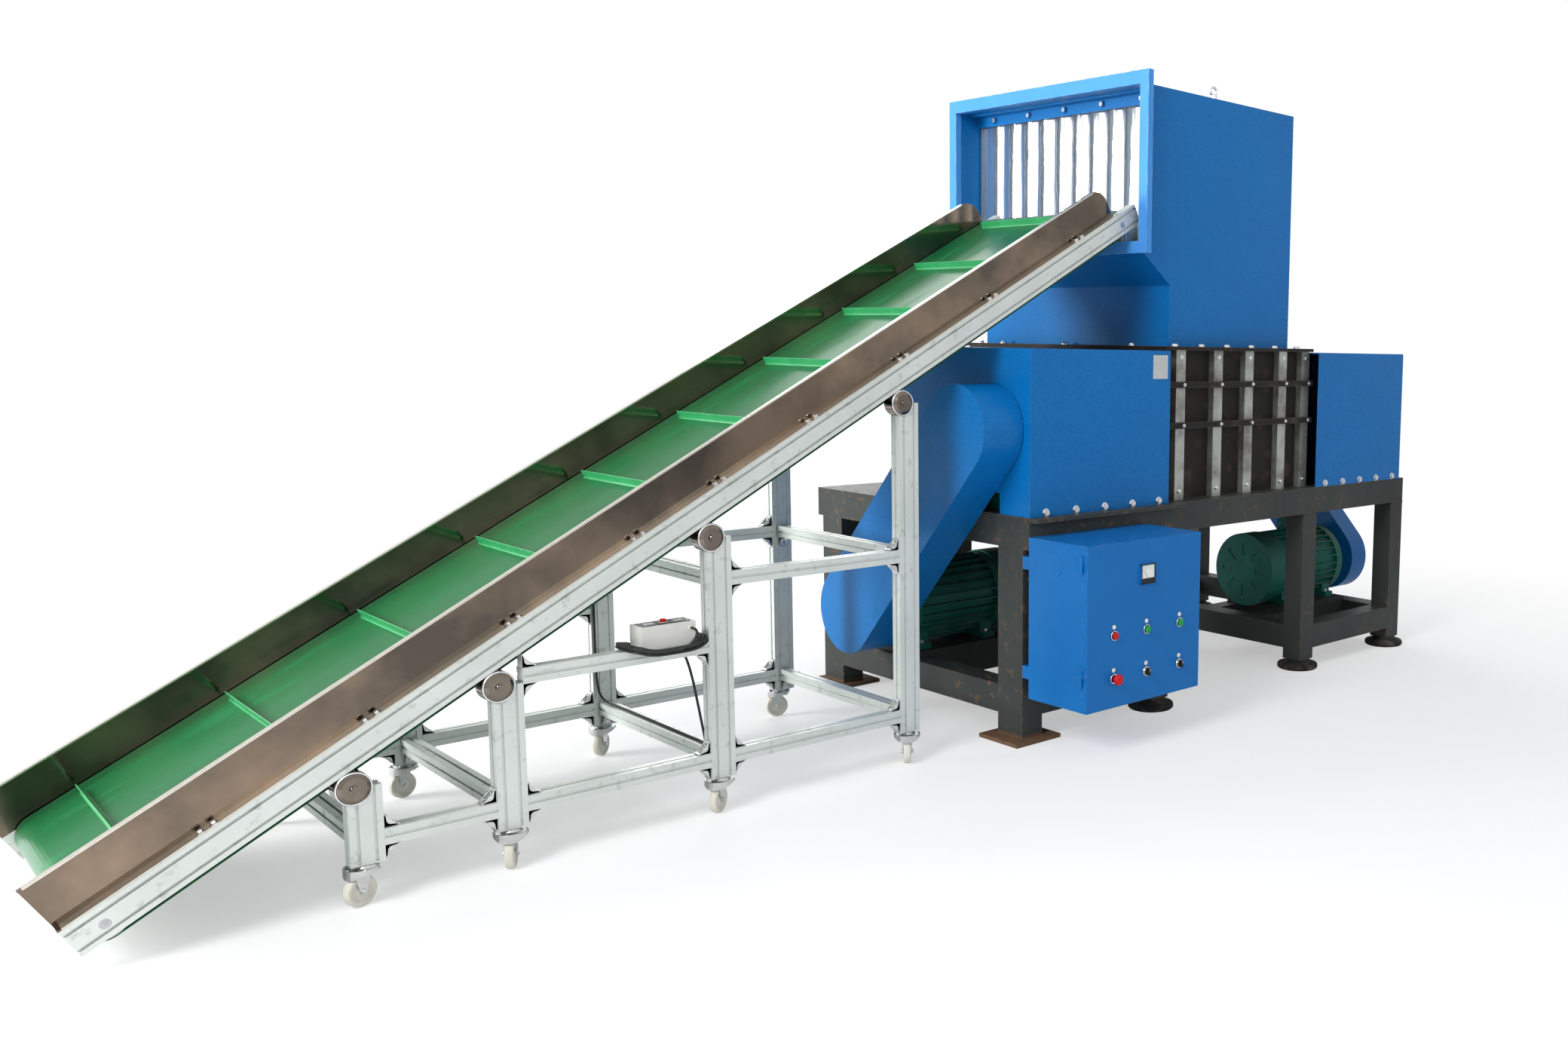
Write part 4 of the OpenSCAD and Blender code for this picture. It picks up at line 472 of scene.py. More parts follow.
# Blue sheet work: hopper, covers and belt guards are folded steel sheet, sprayed one saturated
# blue over a slightly uneven surface, with rubbed edges and a fine orange-peel skin.
blue_paint = Finish("blue_paint")
blue_cloud = blue_paint.noise(1.6, 4.0)
blue_fleck = blue_paint.noise(110.0, 3.0)
blue_peel = blue_paint.noise(420.0, 2.0)
blue_edge = blue_paint.edges(0.003) * blue_paint.noise(35.0, 4.0).above(0.5, 0.12)
blue_shade = blue_paint.mix(blue_cloud, rgb(0.0006, 0.120, 0.37), rgb(0.002, 0.175, 0.49))
blue_dappled = blue_paint.mix(blue_fleck.above(0.45, 0.3) * 0.5, blue_shade, rgb(0.0006, 0.080, 0.28))
blue_paint.set(Base_Color=blue_paint.mix(blue_edge, blue_dappled, rgb(0.16, 0.22, 0.30)),
               Roughness=0.33 + blue_cloud * 0.1 + blue_edge * 0.2, Coat_Weight=0.05, Coat_Roughness=0.2)
blue_paint.bump(blue_peel * 0.25 + blue_cloud * 0.75, 0.22, 0.004)
dress(blue_paint, "hopper", "front_gear_cover", "rear_gear_cover", "belt_guards", "curtain_bar")

# Hopper seams: the hopper is welded from flat sheets, and the flange round the mouth is a
# welded angle; a low bead runs down each corner.
HOPPER_HALF, HOPPER_TOP, HOPPER_FRONT, HOPPER_REAR = 0.588, 2.538, 0.365, 0.435
HOPPER_KNEE, CHAMBER_TOP, MOUTH_X, MOUTH_LOW = 1.750, 1.502, 0.525, 1.871


def bead(mesh, start, end, radius, pitch):
    run = Vector(end) - Vector(start)
    count = max(2, int(run.length / pitch))
    ripples = [(radius * (0.8 + 0.2 * (step % 2)), run.length * step / count) for step in range(count + 1)]
    lathe(mesh, [(0, 0)] + ripples + [(0, run.length)], start, run.normalized(), 8)


seams = bmesh.new()
SEAM_R, SEAM_IN, SEAM_PITCH = 0.003, 0.0018, 0.012
for side in (-1, 1):
    y = side * (HOPPER_HALF - SEAM_IN)
    front, rear = -HOPPER_FRONT + SEAM_IN, HOPPER_REAR - SEAM_IN
    knee = at(front, y, HOPPER_KNEE)
    for start, end in ((at(rear, y, CHAMBER_TOP), at(rear, y, HOPPER_TOP - SEAM_R)),
                       (at(front, y, CHAMBER_TOP), knee),
                       (knee, at(-MOUTH_X + 0.004, y, MOUTH_LOW + 0.002))):
        bead(seams, start, end, SEAM_R, SEAM_PITCH)
piece("hopper_seams", seams, blue_paint, "root")

# Infeed flange: the same blue, painted paler all over as a painted highlight for the lamp light on its front,
# and worn grey at the edges by handling.
flange_blue = Finish("flange_blue")
flange_cloud = flange_blue.noise(5.0, 5.0)
flange_fleck = flange_blue.noise(130.0, 3.0)
flange_wear = flange_blue.edges(0.004) * flange_blue.noise(22.0, 4.0).above(0.45, 0.15)
# Both blues here are paler than the hopper's blue: a painted highlight for the lamp light on the flange.
flange_painted_highlight = flange_blue.mix(flange_cloud * 0.6 + flange_fleck * 0.3, rgb(0.035, 0.21, 0.60),
                               rgb(0.09, 0.33, 0.74))
flange_blue.set(Base_Color=flange_blue.mix(flange_wear, flange_painted_highlight, rgb(0.42, 0.50, 0.58)),
                Roughness=0.45 + flange_cloud * 0.15)
flange_blue.bump(flange_cloud * 0.7 + flange_fleck * 0.3, 0.25, 0.003)
dress(flange_blue, "infeed_flange")

# Curtain: eleven clear flexible strips hang from the bar and keep the chips in. Each is bowed
# across its width and rippled along its length, so the room's lights run down it in streaks.
clear_strip = plain("clear_strip", (12.0, 4.0, (1, 1, 0.12)), (0.90, 0.97, 0.98), (0.75, 0.88, 0.90),
                    (0.03, 0.07), (0.5, 0.006),
                    Transmission_Weight=0.92, IOR=1.49, Specular_IOR_Level=0.5)
strip_low, strip_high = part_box("curtain_strips")
STRIPS, STRIP_T, STRIP_COLS, STRIP_ROWS, STRIP_PART, STRIP_SHARE = 11, 0.0028, 10, 44, 0.485, 0.48
BOW_SHARE, BOW_START = 0.82, 0.1
random.seed(7)
curtain = bmesh.new()
strip_pitch = (strip_high.y - strip_low.y) / (STRIPS - 0.03)
strip_bow = (strip_high.x - strip_low.x - STRIP_T) * BOW_SHARE
for k in range(STRIPS):
    mid = strip_low.y + strip_pitch * (k + STRIP_PART)
    phase, sway = random.uniform(0, math.tau), random.uniform(0.15, 0.35)
    sheets = []
    for back in (0, 1):
        sheet = []
        for row in range(STRIP_ROWS + 1):
            down_share = row / STRIP_ROWS
            ripple = 0.18 * strip_bow * sway * math.sin(phase + down_share * 9) * down_share
            height = strip_high.z - down_share * (strip_high.z - strip_low.z)
            line = []
            for col in range(STRIP_COLS + 1):
                across_share = 2 * col / STRIP_COLS - 1
                bow = (strip_bow * (1 - across_share ** 2)
                       * (1 - 0.25 * sway * math.sin(down_share * 5 + phase)))
                line.append(curtain.verts.new((
                    strip_low.x + back * STRIP_T + bow + ripple + strip_bow * BOW_START,
                    mid + across_share * strip_pitch * STRIP_SHARE, height)))
            sheet.append(line)
        sheets.append(sheet)
    front, behind = sheets
    for row in range(STRIP_ROWS):
        for col in range(STRIP_COLS):
            for sheet, corners in ((front, ((0, 0), (1, 0), (1, 1), (0, 1))),
                                   (behind, ((0, 0), (0, 1), (1, 1), (1, 0)))):
                curtain.faces.new([sheet[row + a][col + b] for a, b in corners])
        for col in (0, STRIP_COLS):
            rim = (front[row][col], behind[row][col], behind[row + 1][col], front[row + 1][col])
            curtain.faces.new(rim if col else rim[::-1])
    for row in (0, STRIP_ROWS):
        for col in range(STRIP_COLS):
            rim = (front[row][col], front[row][col + 1], behind[row][col + 1], behind[row][col])
            curtain.faces.new(rim if row else rim[::-1])
strips = piece("curtain_clear_strips", curtain, clear_strip, "curtain_strips")
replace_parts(strips, "curtain_strips")

# Curtain bar trim: the strips are clamped under a bar with five bright bolts.
bar_low, bar_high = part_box("curtain_bar")
bar_bolts = bmesh.new()
BAR_FACE, BOLT_PITCH, BOLT_DROP, BAR_BOLT = 0.0438, 0.2327, 0.025, 0.014
for k in range(-2, 3):
    hex_bolt(bar_bolts, (bar_low.x + BAR_FACE, MACHINE.y + k * BOLT_PITCH, bar_high.z - BOLT_DROP),
             (-1, 0, 0), BAR_BOLT)
piece("curtain_bar_bolts", bar_bolts, zinc, "root", smooth=False)

# Gear covers: folded blue sheet over the gear reducers, held along the deck by small bolts;
# a bare plate is riveted near the top of the front one, beside the chamber.
plate_steel = plain("bare_plate", (160.0, 3.0, (0.1, 1, 1)), (0.40, 0.42, 0.42), (0.62, 0.64, 0.64),
                    (0.3, 0.2), (0.15, 0.0005), Metallic=0.6)
cover_low, cover_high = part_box("front_gear_cover")
PLATE_W, PLATE_H, PLATE_T, PLATE_INSET, PLATE_SUNK, RIVET_IN = 0.085, 0.095, 0.0016, 0.018, 0.0004, 0.007
bare_plate = bmesh.new()
plate_x, plate_z = cover_high.x - PLATE_INSET, cover_high.z - PLATE_INSET
block(bare_plate, (plate_x - PLATE_W, cover_low.y - PLATE_T, plate_z - PLATE_H),
      (plate_x, cover_low.y + PLATE_SUNK, plate_z))
for x in (PLATE_INSET + RIVET_IN, PLATE_INSET + PLATE_W - RIVET_IN):
    for z in (PLATE_INSET + RIVET_IN, PLATE_INSET + PLATE_H - RIVET_IN):
        lathe(bare_plate, [(0, 0), (0.0028, 0), (0.002, 0.0012), (0, 0.0016)],
              (cover_high.x - x, cover_low.y - PLATE_T, cover_high.z - z), (0, -1, 0), 12)
piece("front_cover_plate", bare_plate, plate_steel, "root", smooth=False)
cover_fold = bmesh.new()
FOLD_R, FOLD_IN, FOLD_PITCH, FOLD_START, FOLD_STOP = 0.002, 0.0012, 0.02, 0.01, 0.003
for low, high in (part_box("front_gear_cover"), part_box("rear_gear_cover")):
    for y in (low.y + FOLD_IN, high.y - FOLD_IN):
        for x in (low.x + FOLD_IN, high.x - FOLD_IN):
            bead(cover_fold, (x, y, low.z + FOLD_START), (x, y, high.z - FOLD_STOP), FOLD_R, FOLD_PITCH)
piece("cover_corner_folds", cover_fold, blue_paint, "root")

# Belt guards: deep blue pans over the belts, each with a rolled rim round its face and screwed
# to the deck beam by two lugs with bright bolts.
TOP_Y, TOP_Z, TOP_R, LOW_Y, LOW_Z, LOW_R = -0.490, 1.180, 0.170, 0.224, 0.405, 0.175
GUARD_FACE, GUARD_BACKS, RIM_R, RIM_SUNK, LUG_BOLT = 1.410, (1.2252, 1.2842), 0.0025, 0.0002, 0.014
LUGS, LUG_HALF, LUG_T = ((-0.175, 0.800), (0.045, 0.815)), 0.03, 0.003


def guard_outline(inset, count=28):
    way = math.atan2(LOW_Z - TOP_Z, LOW_Y - TOP_Y)
    turn = math.acos((TOP_R - LOW_R) / math.hypot(LOW_Y - TOP_Y, LOW_Z - TOP_Z))
    points = []
    for centre_y, centre_z, radius, start, sweep in (
            (TOP_Y, TOP_Z, TOP_R, way + turn, math.tau - 2 * turn),
            (LOW_Y, LOW_Z, LOW_R, way - turn, 2 * turn)):
        for k in range(count + 1):
            angle = start + sweep * k / count
            points.append((centre_y + (radius - inset) * math.cos(angle),
                           centre_z + (radius - inset) * math.sin(angle)))
    return points


def ring_tube(mesh, points, radius, sides=8):
    rings = []
    for k, point in enumerate(points):
        along = (points[(k + 1) % len(points)] - points[k - 1]).normalized()
        side = along.cross(Vector((1, 0, 0))).normalized()
        rings.append([mesh.verts.new(point + radius * (math.cos(math.tau * s / sides) * side
                                                       + math.sin(math.tau * s / sides) * Vector((1, 0, 0))))
                      for s in range(sides)])
    bridge(mesh, rings + rings[:1])


guard_rims = bmesh.new()
guard_bolts = bmesh.new()
for turn, back in zip((1, -1), GUARD_BACKS):
    face_x = -(GUARD_FACE - RIM_R - RIM_SUNK) * turn
    ring_tube(guard_rims, [at(face_x, y * turn, z) for y, z in guard_outline(RIM_R * 0.6)], RIM_R)
    lug_x = -(back + LUG_T) * turn
    xs = sorted((-back * turn, lug_x))
    for y, z in LUGS:
        block(guard_rims, at(xs[0], y * turn - LUG_HALF, z - LUG_HALF),
              at(xs[1], y * turn + LUG_HALF, z + LUG_HALF))
        hex_bolt(guard_bolts, at(lug_x, y * turn, z), (-turn, 0, 0), LUG_BOLT)
piece("guard_rims_and_lugs", guard_rims, blue_paint, "root")
piece("guard_bolts", guard_bolts, zinc, "root", smooth=False)

# Motors and gear reducers: finned cast iron in teal machine enamel, dusty on top; the fin edges are a lighter
# teal, a painted highlight, so the hollows between the fins read darker as painted shade. The motors'
# terminal boxes have screwed lids and a cable gland.
teal = Finish("teal_enamel")
teal_dust = teal.noise(7.0, 6.0)
teal_grit = teal.noise(90.0, 4.0)
teal_edge_highlight = teal.edges(0.004)
teal_up = teal.node("ShaderNodeSeparateXYZ", {0: teal.node("ShaderNodeNewGeometry", out="Normal")}, out=2)
teal_dusty = teal_up.above(0.3, 0.5) * teal_dust.above(0.35, 0.3) * 0.5
teal_tint = teal.mix(teal_dust, rgb(0.004, 0.075, 0.062), rgb(0.012, 0.16, 0.125))
# The fin edges are lightened to a paler teal: painted highlight, with painted shade left between the fins.
teal.set(Base_Color=teal.mix(teal_dusty, teal.mix(teal_edge_highlight * 0.4, teal_tint, rgb(0.06, 0.22, 0.18)),
                             rgb(0.16, 0.17, 0.14)),
         Roughness=0.4 + teal_dusty * 0.4 + teal_grit * 0.12)
teal.bump(teal_grit * 0.6 + teal_dust * 0.4, 0.35, 0.003)
dress(teal, "drive_motors", "gear_reducers")
MOTOR_END, MOTOR_Y, MOTOR_Z, MOTOR_BOX = 1.195, 0.224, 0.405, (0.120, 0.110, 0.070)
MOTOR_BODY_R, BOX_X, LID_LAP, LID_T = 0.155, 0.045 + 0.400 / 3, 0.003, 0.006
LID_SCREW_X, LID_SCREW_Y, FOOT_BOLT_XS, FOOT_BOLT_Y, FOOT_TOP = 0.05, 0.045, (0.075, 0.415), 0.12, 0.249
GLAND_DROP, LID_SCREW, FOOT_BOLT = 0.03, 0.006, 0.014
GLAND = [(0, 0), (0.016, 0), (0.016, 0.012), (0.012, 0.014), (0.012, 0.026), (0.006, 0.028), (0, 0.028)]
motor_trim = bmesh.new()
motor_screws = bmesh.new()
for turn in (1, -1):
    box_x, box_top = (-MOTOR_END + BOX_X) * turn, MOTOR_Z + MOTOR_BODY_R + MOTOR_BOX[2]
    box_y, lid_x, lid_y = MOTOR_Y * turn, MOTOR_BOX[0] / 2 + LID_LAP, MOTOR_BOX[1] / 2 + LID_LAP
    block(motor_trim, at(box_x - lid_x, box_y - lid_y, box_top),
          at(box_x + lid_x, box_y + lid_y, box_top + LID_T))
    gland_place = at(box_x, (MOTOR_Y - MOTOR_BOX[1] / 2) * turn, box_top - GLAND_DROP)
    lathe(motor_trim, GLAND, gland_place, (0, -turn, 0), 20)
    for sx in (-1, 1):
        for sy in (-1, 1):
            hex_bolt(motor_screws, at(box_x + sx * LID_SCREW_X, box_y + sy * LID_SCREW_Y, box_top + LID_T),
                     (0, 0, 1), LID_SCREW)
    for x in FOOT_BOLT_XS:
        for sy in (-1, 1):
            hex_bolt(motor_screws, at((-MOTOR_END + x) * turn, box_y + sy * FOOT_BOLT_Y, FOOT_TOP),
                     (0, 0, 1), FOOT_BOLT)
piece("motor_terminal_lids", motor_trim, teal, "root", bevel=0.0015, smooth=False)
piece("motor_screws", motor_screws, zinc, "root", smooth=False)

# Pulleys are turned cast iron and the V-belts black rubber, both hidden in the guards.
pulley_iron = plain("pulley_iron", (60.0, 4.0), (0.22, 0.22, 0.23), (0.36, 0.36, 0.37),
                    (0.35, 0.2), (0.2, 0.001), Metallic=0.8)
dress(pulley_iron, *[f"{end}_{drive}_pulley" for end in ("front", "rear") for drive in ("reducer", "motor")])
drive_rubber = plain("drive_rubber", (50.0, 4.0), (0.015, 0.015, 0.015), (0.05, 0.05, 0.048),
                     (0.6, 0.2), (0.3, 0.001))
dress(drive_rubber, "drive_belts")

# Control cabinet: sheet-steel box and door in the same blue, hung on the front legs. The left
# face has a blanking disc; the door carries a meter, four buttons and two selectors.
cabinet_blue = Finish("cabinet_paint")
cabinet_cloud = cabinet_blue.noise(2.4, 4.0)
cabinet_fleck = cabinet_blue.noise(150.0, 3.0)
cabinet_edge = cabinet_blue.edges(0.003) * cabinet_blue.noise(40.0, 4.0).above(0.5, 0.12)
cabinet_blue.set(Base_Color=cabinet_blue.mix(cabinet_edge, cabinet_blue.mix(
    cabinet_cloud * 0.6 + cabinet_fleck * 0.4, rgb(0.0010, 0.105, 0.36), rgb(0.005, 0.17, 0.49)),
    rgb(0.18, 0.25, 0.33)), Roughness=0.34 + cabinet_fleck * 0.12, Coat_Weight=0.05, Coat_Roughness=0.2)
cabinet_blue.bump(cabinet_fleck * 0.5 + cabinet_cloud * 0.5, 0.2, 0.003)
dress(cabinet_blue, "cabinet", "cabinet_door")
CABINET_LEFT, CABINET_W, CABINET_Z, CABINET_H, DOOR_FACE = -1.225, 0.604, 0.180, 0.610, -1.0082
CONTROLS = {"stop_button": (0.225, 0.443), "start_button_1": (0.507, 0.443), "start_button_2": (0.808, 0.443),
            "emergency_stop": (0.225, 0.18), "selector_1": (0.507, 0.18), "selector_2": (0.808, 0.18)}
METER_SHARES, TOWARDS, TAG_UP = (0.507, 0.787), (0, -1, 0), 0.031


def on_door(shares, up=0.0):
    return at(CABINET_LEFT + shares[0] * CABINET_W, DOOR_FACE, CABINET_Z + shares[1] * CABINET_H + up)


def ring_lathe(mesh, profile, place, axis, sides=40):
    rings = turned_rings(mesh, profile, place, axis, sides)
    bridge(mesh, rings + rings[:1])


# Collars and tags: each control sits in a chromed collar with a blank pale tag above it.
chrome = plain("chrome", (60.0, 4.0), (0.60, 0.61, 0.62), (0.80, 0.81, 0.82),
               (0.07, 0.12), (0.08, 0.0004), Metallic=1.0)
COLLAR = [(0.0114, 0.0001), (0.0186, 0.0001), (0.0186, 0.0044), (0.0176, 0.0062), (0.0163, 0.0060),
          (0.0154, 0.00415), (0.0114, 0.00415)]
collars = bmesh.new()
tags = bmesh.new()
for shares in CONTROLS.values():
    ring_lathe(collars, COLLAR, on_door(shares), TOWARDS)
    lathe(tags, [(0, 0), (0.0085, 0), (0.0085, 0.002), (0.006, 0.0034), (0, 0.0038)],
          on_door(shares, TAG_UP), TOWARDS, 28)
piece("control_collars", collars, chrome, "cabinet_door")
tag_plastic = plain("tag_plastic", (200.0, 3.0), (0.62, 0.64, 0.60), (0.78, 0.80, 0.76),
                    (0.35, 0.15), (0.1, 0.0004))
piece("control_tags", tags, tag_plastic, "cabinet_door")


def plastic(name, dark, light, rough=0.22):
    finish = Finish(name)
    grain = finish.noise(180.0, 3.0)
    cloud = finish.noise(20.0, 3.0)
    finish.set(Base_Color=finish.mix(cloud, rgb(*dark), rgb(*light)), Roughness=rough + grain * 0.15)
    finish.bump(grain, 0.12, 0.0004)
    return finish


# Buttons and emergency stop: domed moulded plastic on round stems, red to stop, green to start.
red_plastic = plastic("red_plastic", (0.42, 0.006, 0.012), (0.62, 0.015, 0.02))
green_plastic = plastic("green_plastic", (0.008, 0.25, 0.045), (0.02, 0.42, 0.09))
CAP_OUT, STEM_IN, STEM_R = 0.0133, -0.020, 0.0105
CAP = [(0, STEM_IN), (STEM_R, STEM_IN), (STEM_R, CAP_OUT - 0.004), (0.0138, CAP_OUT - 0.004),
       (0.0140, CAP_OUT - 0.0028), (0.0134, CAP_OUT - 0.0014), (0.0110, CAP_OUT - 0.0003),
       (0.0060, CAP_OUT), (0, CAP_OUT)]
for name, finish, slot in (("stop_button", red_plastic, "red_plastic"),
                           ("start_button_1", green_plastic, "green_plastic"),
                           ("start_button_2", green_plastic, "green_plastic")):
    cap = bmesh.new()
    lathe(cap, CAP, on_door(CONTROLS[name]), TOWARDS)
    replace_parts(piece(name + "_cap", cap, finish, name), name)
MUSHROOM = [(0, STEM_IN), (STEM_R, STEM_IN), (STEM_R, 0.018), (0.0150, 0.0190), (0.0198, 0.0215),
            (0.0210, 0.0250), (0.0208, 0.0290), (0.0190, 0.0330), (0.0150, 0.0358), (0.0080, 0.0376),
            (0, 0.0380)]
mushroom = bmesh.new()
lathe(mushroom, MUSHROOM, on_door(CONTROLS["emergency_stop"]), TOWARDS, 48)
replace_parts(piece("emergency_stop_head", mushroom, red_plastic, "emergency_stop"),
            "emergency_stop")

# Selectors: black knobs with a raised grip and a pale mark, in a bright ring.
black_plastic = plastic("black_plastic", (0.010, 0.010, 0.011), (0.03, 0.03, 0.032), 0.28)
mark_paint = plastic("mark_paint", (0.7, 0.7, 0.7), (0.85, 0.85, 0.85), 0.4)
GRIP_W, GRIP_R, GRIP_OUT, KNOB_R = 0.004, 0.0138, 0.0230, 0.0139
KNOB = [(0, STEM_IN), (STEM_R, STEM_IN), (STEM_R, 0.0044), (KNOB_R, 0.0044), (KNOB_R, 0.0105),
        (0.0128, 0.0119), (0, 0.0120)]
KNOB_RING = [(KNOB_R, 0.0050), (0.0146, 0.0052), (0.0148, 0.0085), (KNOB_R, 0.0090)]
MARK_W, MARK_LOW, MARK_HIGH, MARK_T, MARK_SUNK = 0.0008, 0.002, 0.0125, 0.0004, 0.001
for name in ("selector_1", "selector_2"):
    knob = bmesh.new()
    centre = on_door(CONTROLS[name])
    lathe(knob, KNOB, centre, TOWARDS)
    block(knob, centre + Vector((-GRIP_W, -GRIP_OUT, -GRIP_R)), centre + Vector((GRIP_W, -0.009, GRIP_R)))
    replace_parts(piece(name + "_knob", knob, black_plastic, name, bevel=0.0012), name)
    mark = bmesh.new()
    block(mark, centre + Vector((-MARK_W, -GRIP_OUT - MARK_T, MARK_LOW)),
          centre + Vector((MARK_W, -GRIP_OUT + MARK_SUNK, MARK_HIGH)))
    piece(name + "_mark", mark, mark_paint, name, smooth=False)
    ring = bmesh.new()
    ring_lathe(ring, KNOB_RING, centre, TOWARDS)
    piece(name + "_ring", ring, chrome, name)

# Meter: a square moving-iron instrument with a dark frame, a pale dial with a plain arc of
# divisions, a pointer and a black skirt over its movement.
METER_HALF, METER_RIM, METER_OUT, METER_IN = 0.0375, 0.004, 0.0088, 0.0335
SKIRT_OUT, SKIRT_BACK, SKIRT_TOP, DIAL_OUT, DIAL_BACK = 0.0072, 0.0045, -0.016, 0.0052, 0.0042
dial_face = plastic("dial_face", (0.72, 0.75, 0.73), (0.82, 0.84, 0.82), 0.3)
meter_place = on_door(METER_SHARES)


def meter_block(mesh, xs, out, back, zs):
    block(mesh, meter_place + Vector((min(xs), -out, min(zs))),
          meter_place + Vector((max(xs), -back, max(zs))))


meter_frame = bmesh.new()
for side in (-METER_HALF, METER_HALF):
    rim, whole = (side, math.copysign(METER_HALF - METER_RIM, side)), (-METER_HALF, METER_HALF)
    meter_block(meter_frame, rim, METER_OUT, 0.0, whole)
    meter_block(meter_frame, whole, METER_OUT, 0.0, rim)
meter_block(meter_frame, (-METER_IN, METER_IN), SKIRT_OUT, SKIRT_BACK, (-METER_IN, SKIRT_TOP))
piece("meter_frame", meter_frame, black_plastic, "cabinet_door", smooth=False, bevel=0.0006)
dial = bmesh.new()
meter_block(dial, (-METER_IN, METER_IN), DIAL_OUT, DIAL_BACK, (-METER_IN, METER_IN))
piece("meter_dial", dial, dial_face, "cabinet_door", smooth=False)
divisions = bmesh.new()
DIAL_R, DIVISIONS, ARC_START, ARC_STEP, ARC_CENTRE = 0.040, 11, 130, 8, -0.019
DOT = [(0, 0), (0.0005, 0), (0.0005, 0.0004), (0, 0.0004)]
for k in range(DIVISIONS):
    angle = math.radians(ARC_START - ARC_STEP * k)
    for reach in (DIAL_R, DIAL_R + (0.005 if k % 5 == 0 else 0.003)):
        spot = Vector((reach * math.cos(angle), -DIAL_OUT, ARC_CENTRE + reach * math.sin(angle)))
        lathe(divisions, DOT, meter_place + spot, TOWARDS, 6)
needle_from, needle_way = meter_place + Vector((0, -0.0058, -0.018)), Vector((-0.55, 0, 0.84)).normalized()
lathe(divisions, [(0, 0), (0.0006, 0), (0.0003, 0.038), (0, 0.0385)], needle_from, needle_way, 6)
piece("meter_scale", divisions, black_plastic, "cabinet_door", smooth=False)

# Conveyor beams: extruded aluminium with long grooves, anodised pale, slightly streaked along
# their length and closed at the tail by dark end caps.
aluminium = Finish("profile_aluminium")
aluminium_cloud = aluminium.noise(5.0, 5.0)
aluminium_draw = aluminium.noise(420.0, 3.0, (0.02, 1, 1))
aluminium_scuff = aluminium.noise(30.0, 5.0).above(0.58, 0.1)
aluminium_pale = aluminium.mix(aluminium_cloud, rgb(0.50, 0.54, 0.51), rgb(0.72, 0.75, 0.72))
aluminium.set(
    Base_Color=aluminium.mix(aluminium_scuff * 0.5, aluminium_pale, rgb(0.38, 0.40, 0.37)),
    Metallic=0.35, Roughness=0.3 + aluminium_draw * 0.12 + aluminium_scuff * 0.15)
aluminium.bump(aluminium_draw * 0.4 + aluminium_cloud * 0.6, 0.12, 0.002)
dress(aluminium, "conveyor_beams", "stand_frame")
SLOPE, HEAD_X, HEAD_Z, CONVEYOR_Y = math.radians(29.2), 0.610, 1.977, 0.1125
CONVEYOR_LEN, CONVEYOR_HALF, INNER_HALF, TAIL_RUN = 3.800, 0.4375, 0.3975, 0.072
BEAM_TOP, BEAM_LOW, GUARD_TOP, GUARD_T = 0.045, -0.035, 0.170, 0.003


def on_slope(along, y, height):
    return at(-HEAD_X + along * math.cos(SLOPE) - height * math.sin(SLOPE), -CONVEYOR_Y + y,
                             HEAD_Z + along * math.sin(SLOPE) + height * math.cos(SLOPE))


OFF_SLOPE = Vector((-math.sin(SLOPE), 0, math.cos(SLOPE)))


def slope_block(mesh, low, high):
    middle, size = (Vector(low) + Vector(high)) / 2, Vector(high) - Vector(low)
    bmesh.ops.create_cube(mesh, size=1.0, matrix=Matrix.Translation(on_slope(*middle))
                          @ Matrix.Rotation(-SLOPE, 4, "Y") @ Matrix.Diagonal((*size, 1.0)))


end_caps = bmesh.new()
CAP_NEAR, CAP_FAR, CAP_IN = 0.0968, 0.1000, 0.0004
for side in (-1, 1):
    ys = sorted((side * (INNER_HALF + CAP_IN), side * (CONVEYOR_HALF - CAP_IN)))
    slope_block(end_caps, (CAP_NEAR, ys[0], BEAM_LOW + CAP_IN), (CAP_FAR, ys[1], BEAM_TOP - CAP_IN))
piece("beam_end_caps", end_caps, black_plastic, "root", smooth=False, bevel=0.001)

# Side guards: mirror-polished stainless sheet, rounded at the head and returned at the top in a narrow lip,
# with bolts in pairs. The sheet's brown clouds are a painted reflection; the lips and a foot flange are a
# paler copy of the same steel, a painted highlight.
mirror_steel = Finish("mirror_steel")
mirror_cloud = mirror_steel.noise(2.3, 5.0)
mirror_smear = mirror_steel.noise(24.0, 4.0, (1, 1, 0.3))
# The brown clouds of this base colour are a painted reflection of the surroundings in the polished sheet.
mirror_steel.set(Base_Color=mirror_steel.mix(mirror_cloud.above(0.4, 0.25), rgb(0.10, 0.085, 0.07),
                                             rgb(0.27, 0.20, 0.145)),
                 Metallic=1.0, Roughness=0.05 + mirror_smear * 0.1)
mirror_steel.bump(mirror_cloud, 0.12, 0.006)
dress(mirror_steel, "conveyor_guards")
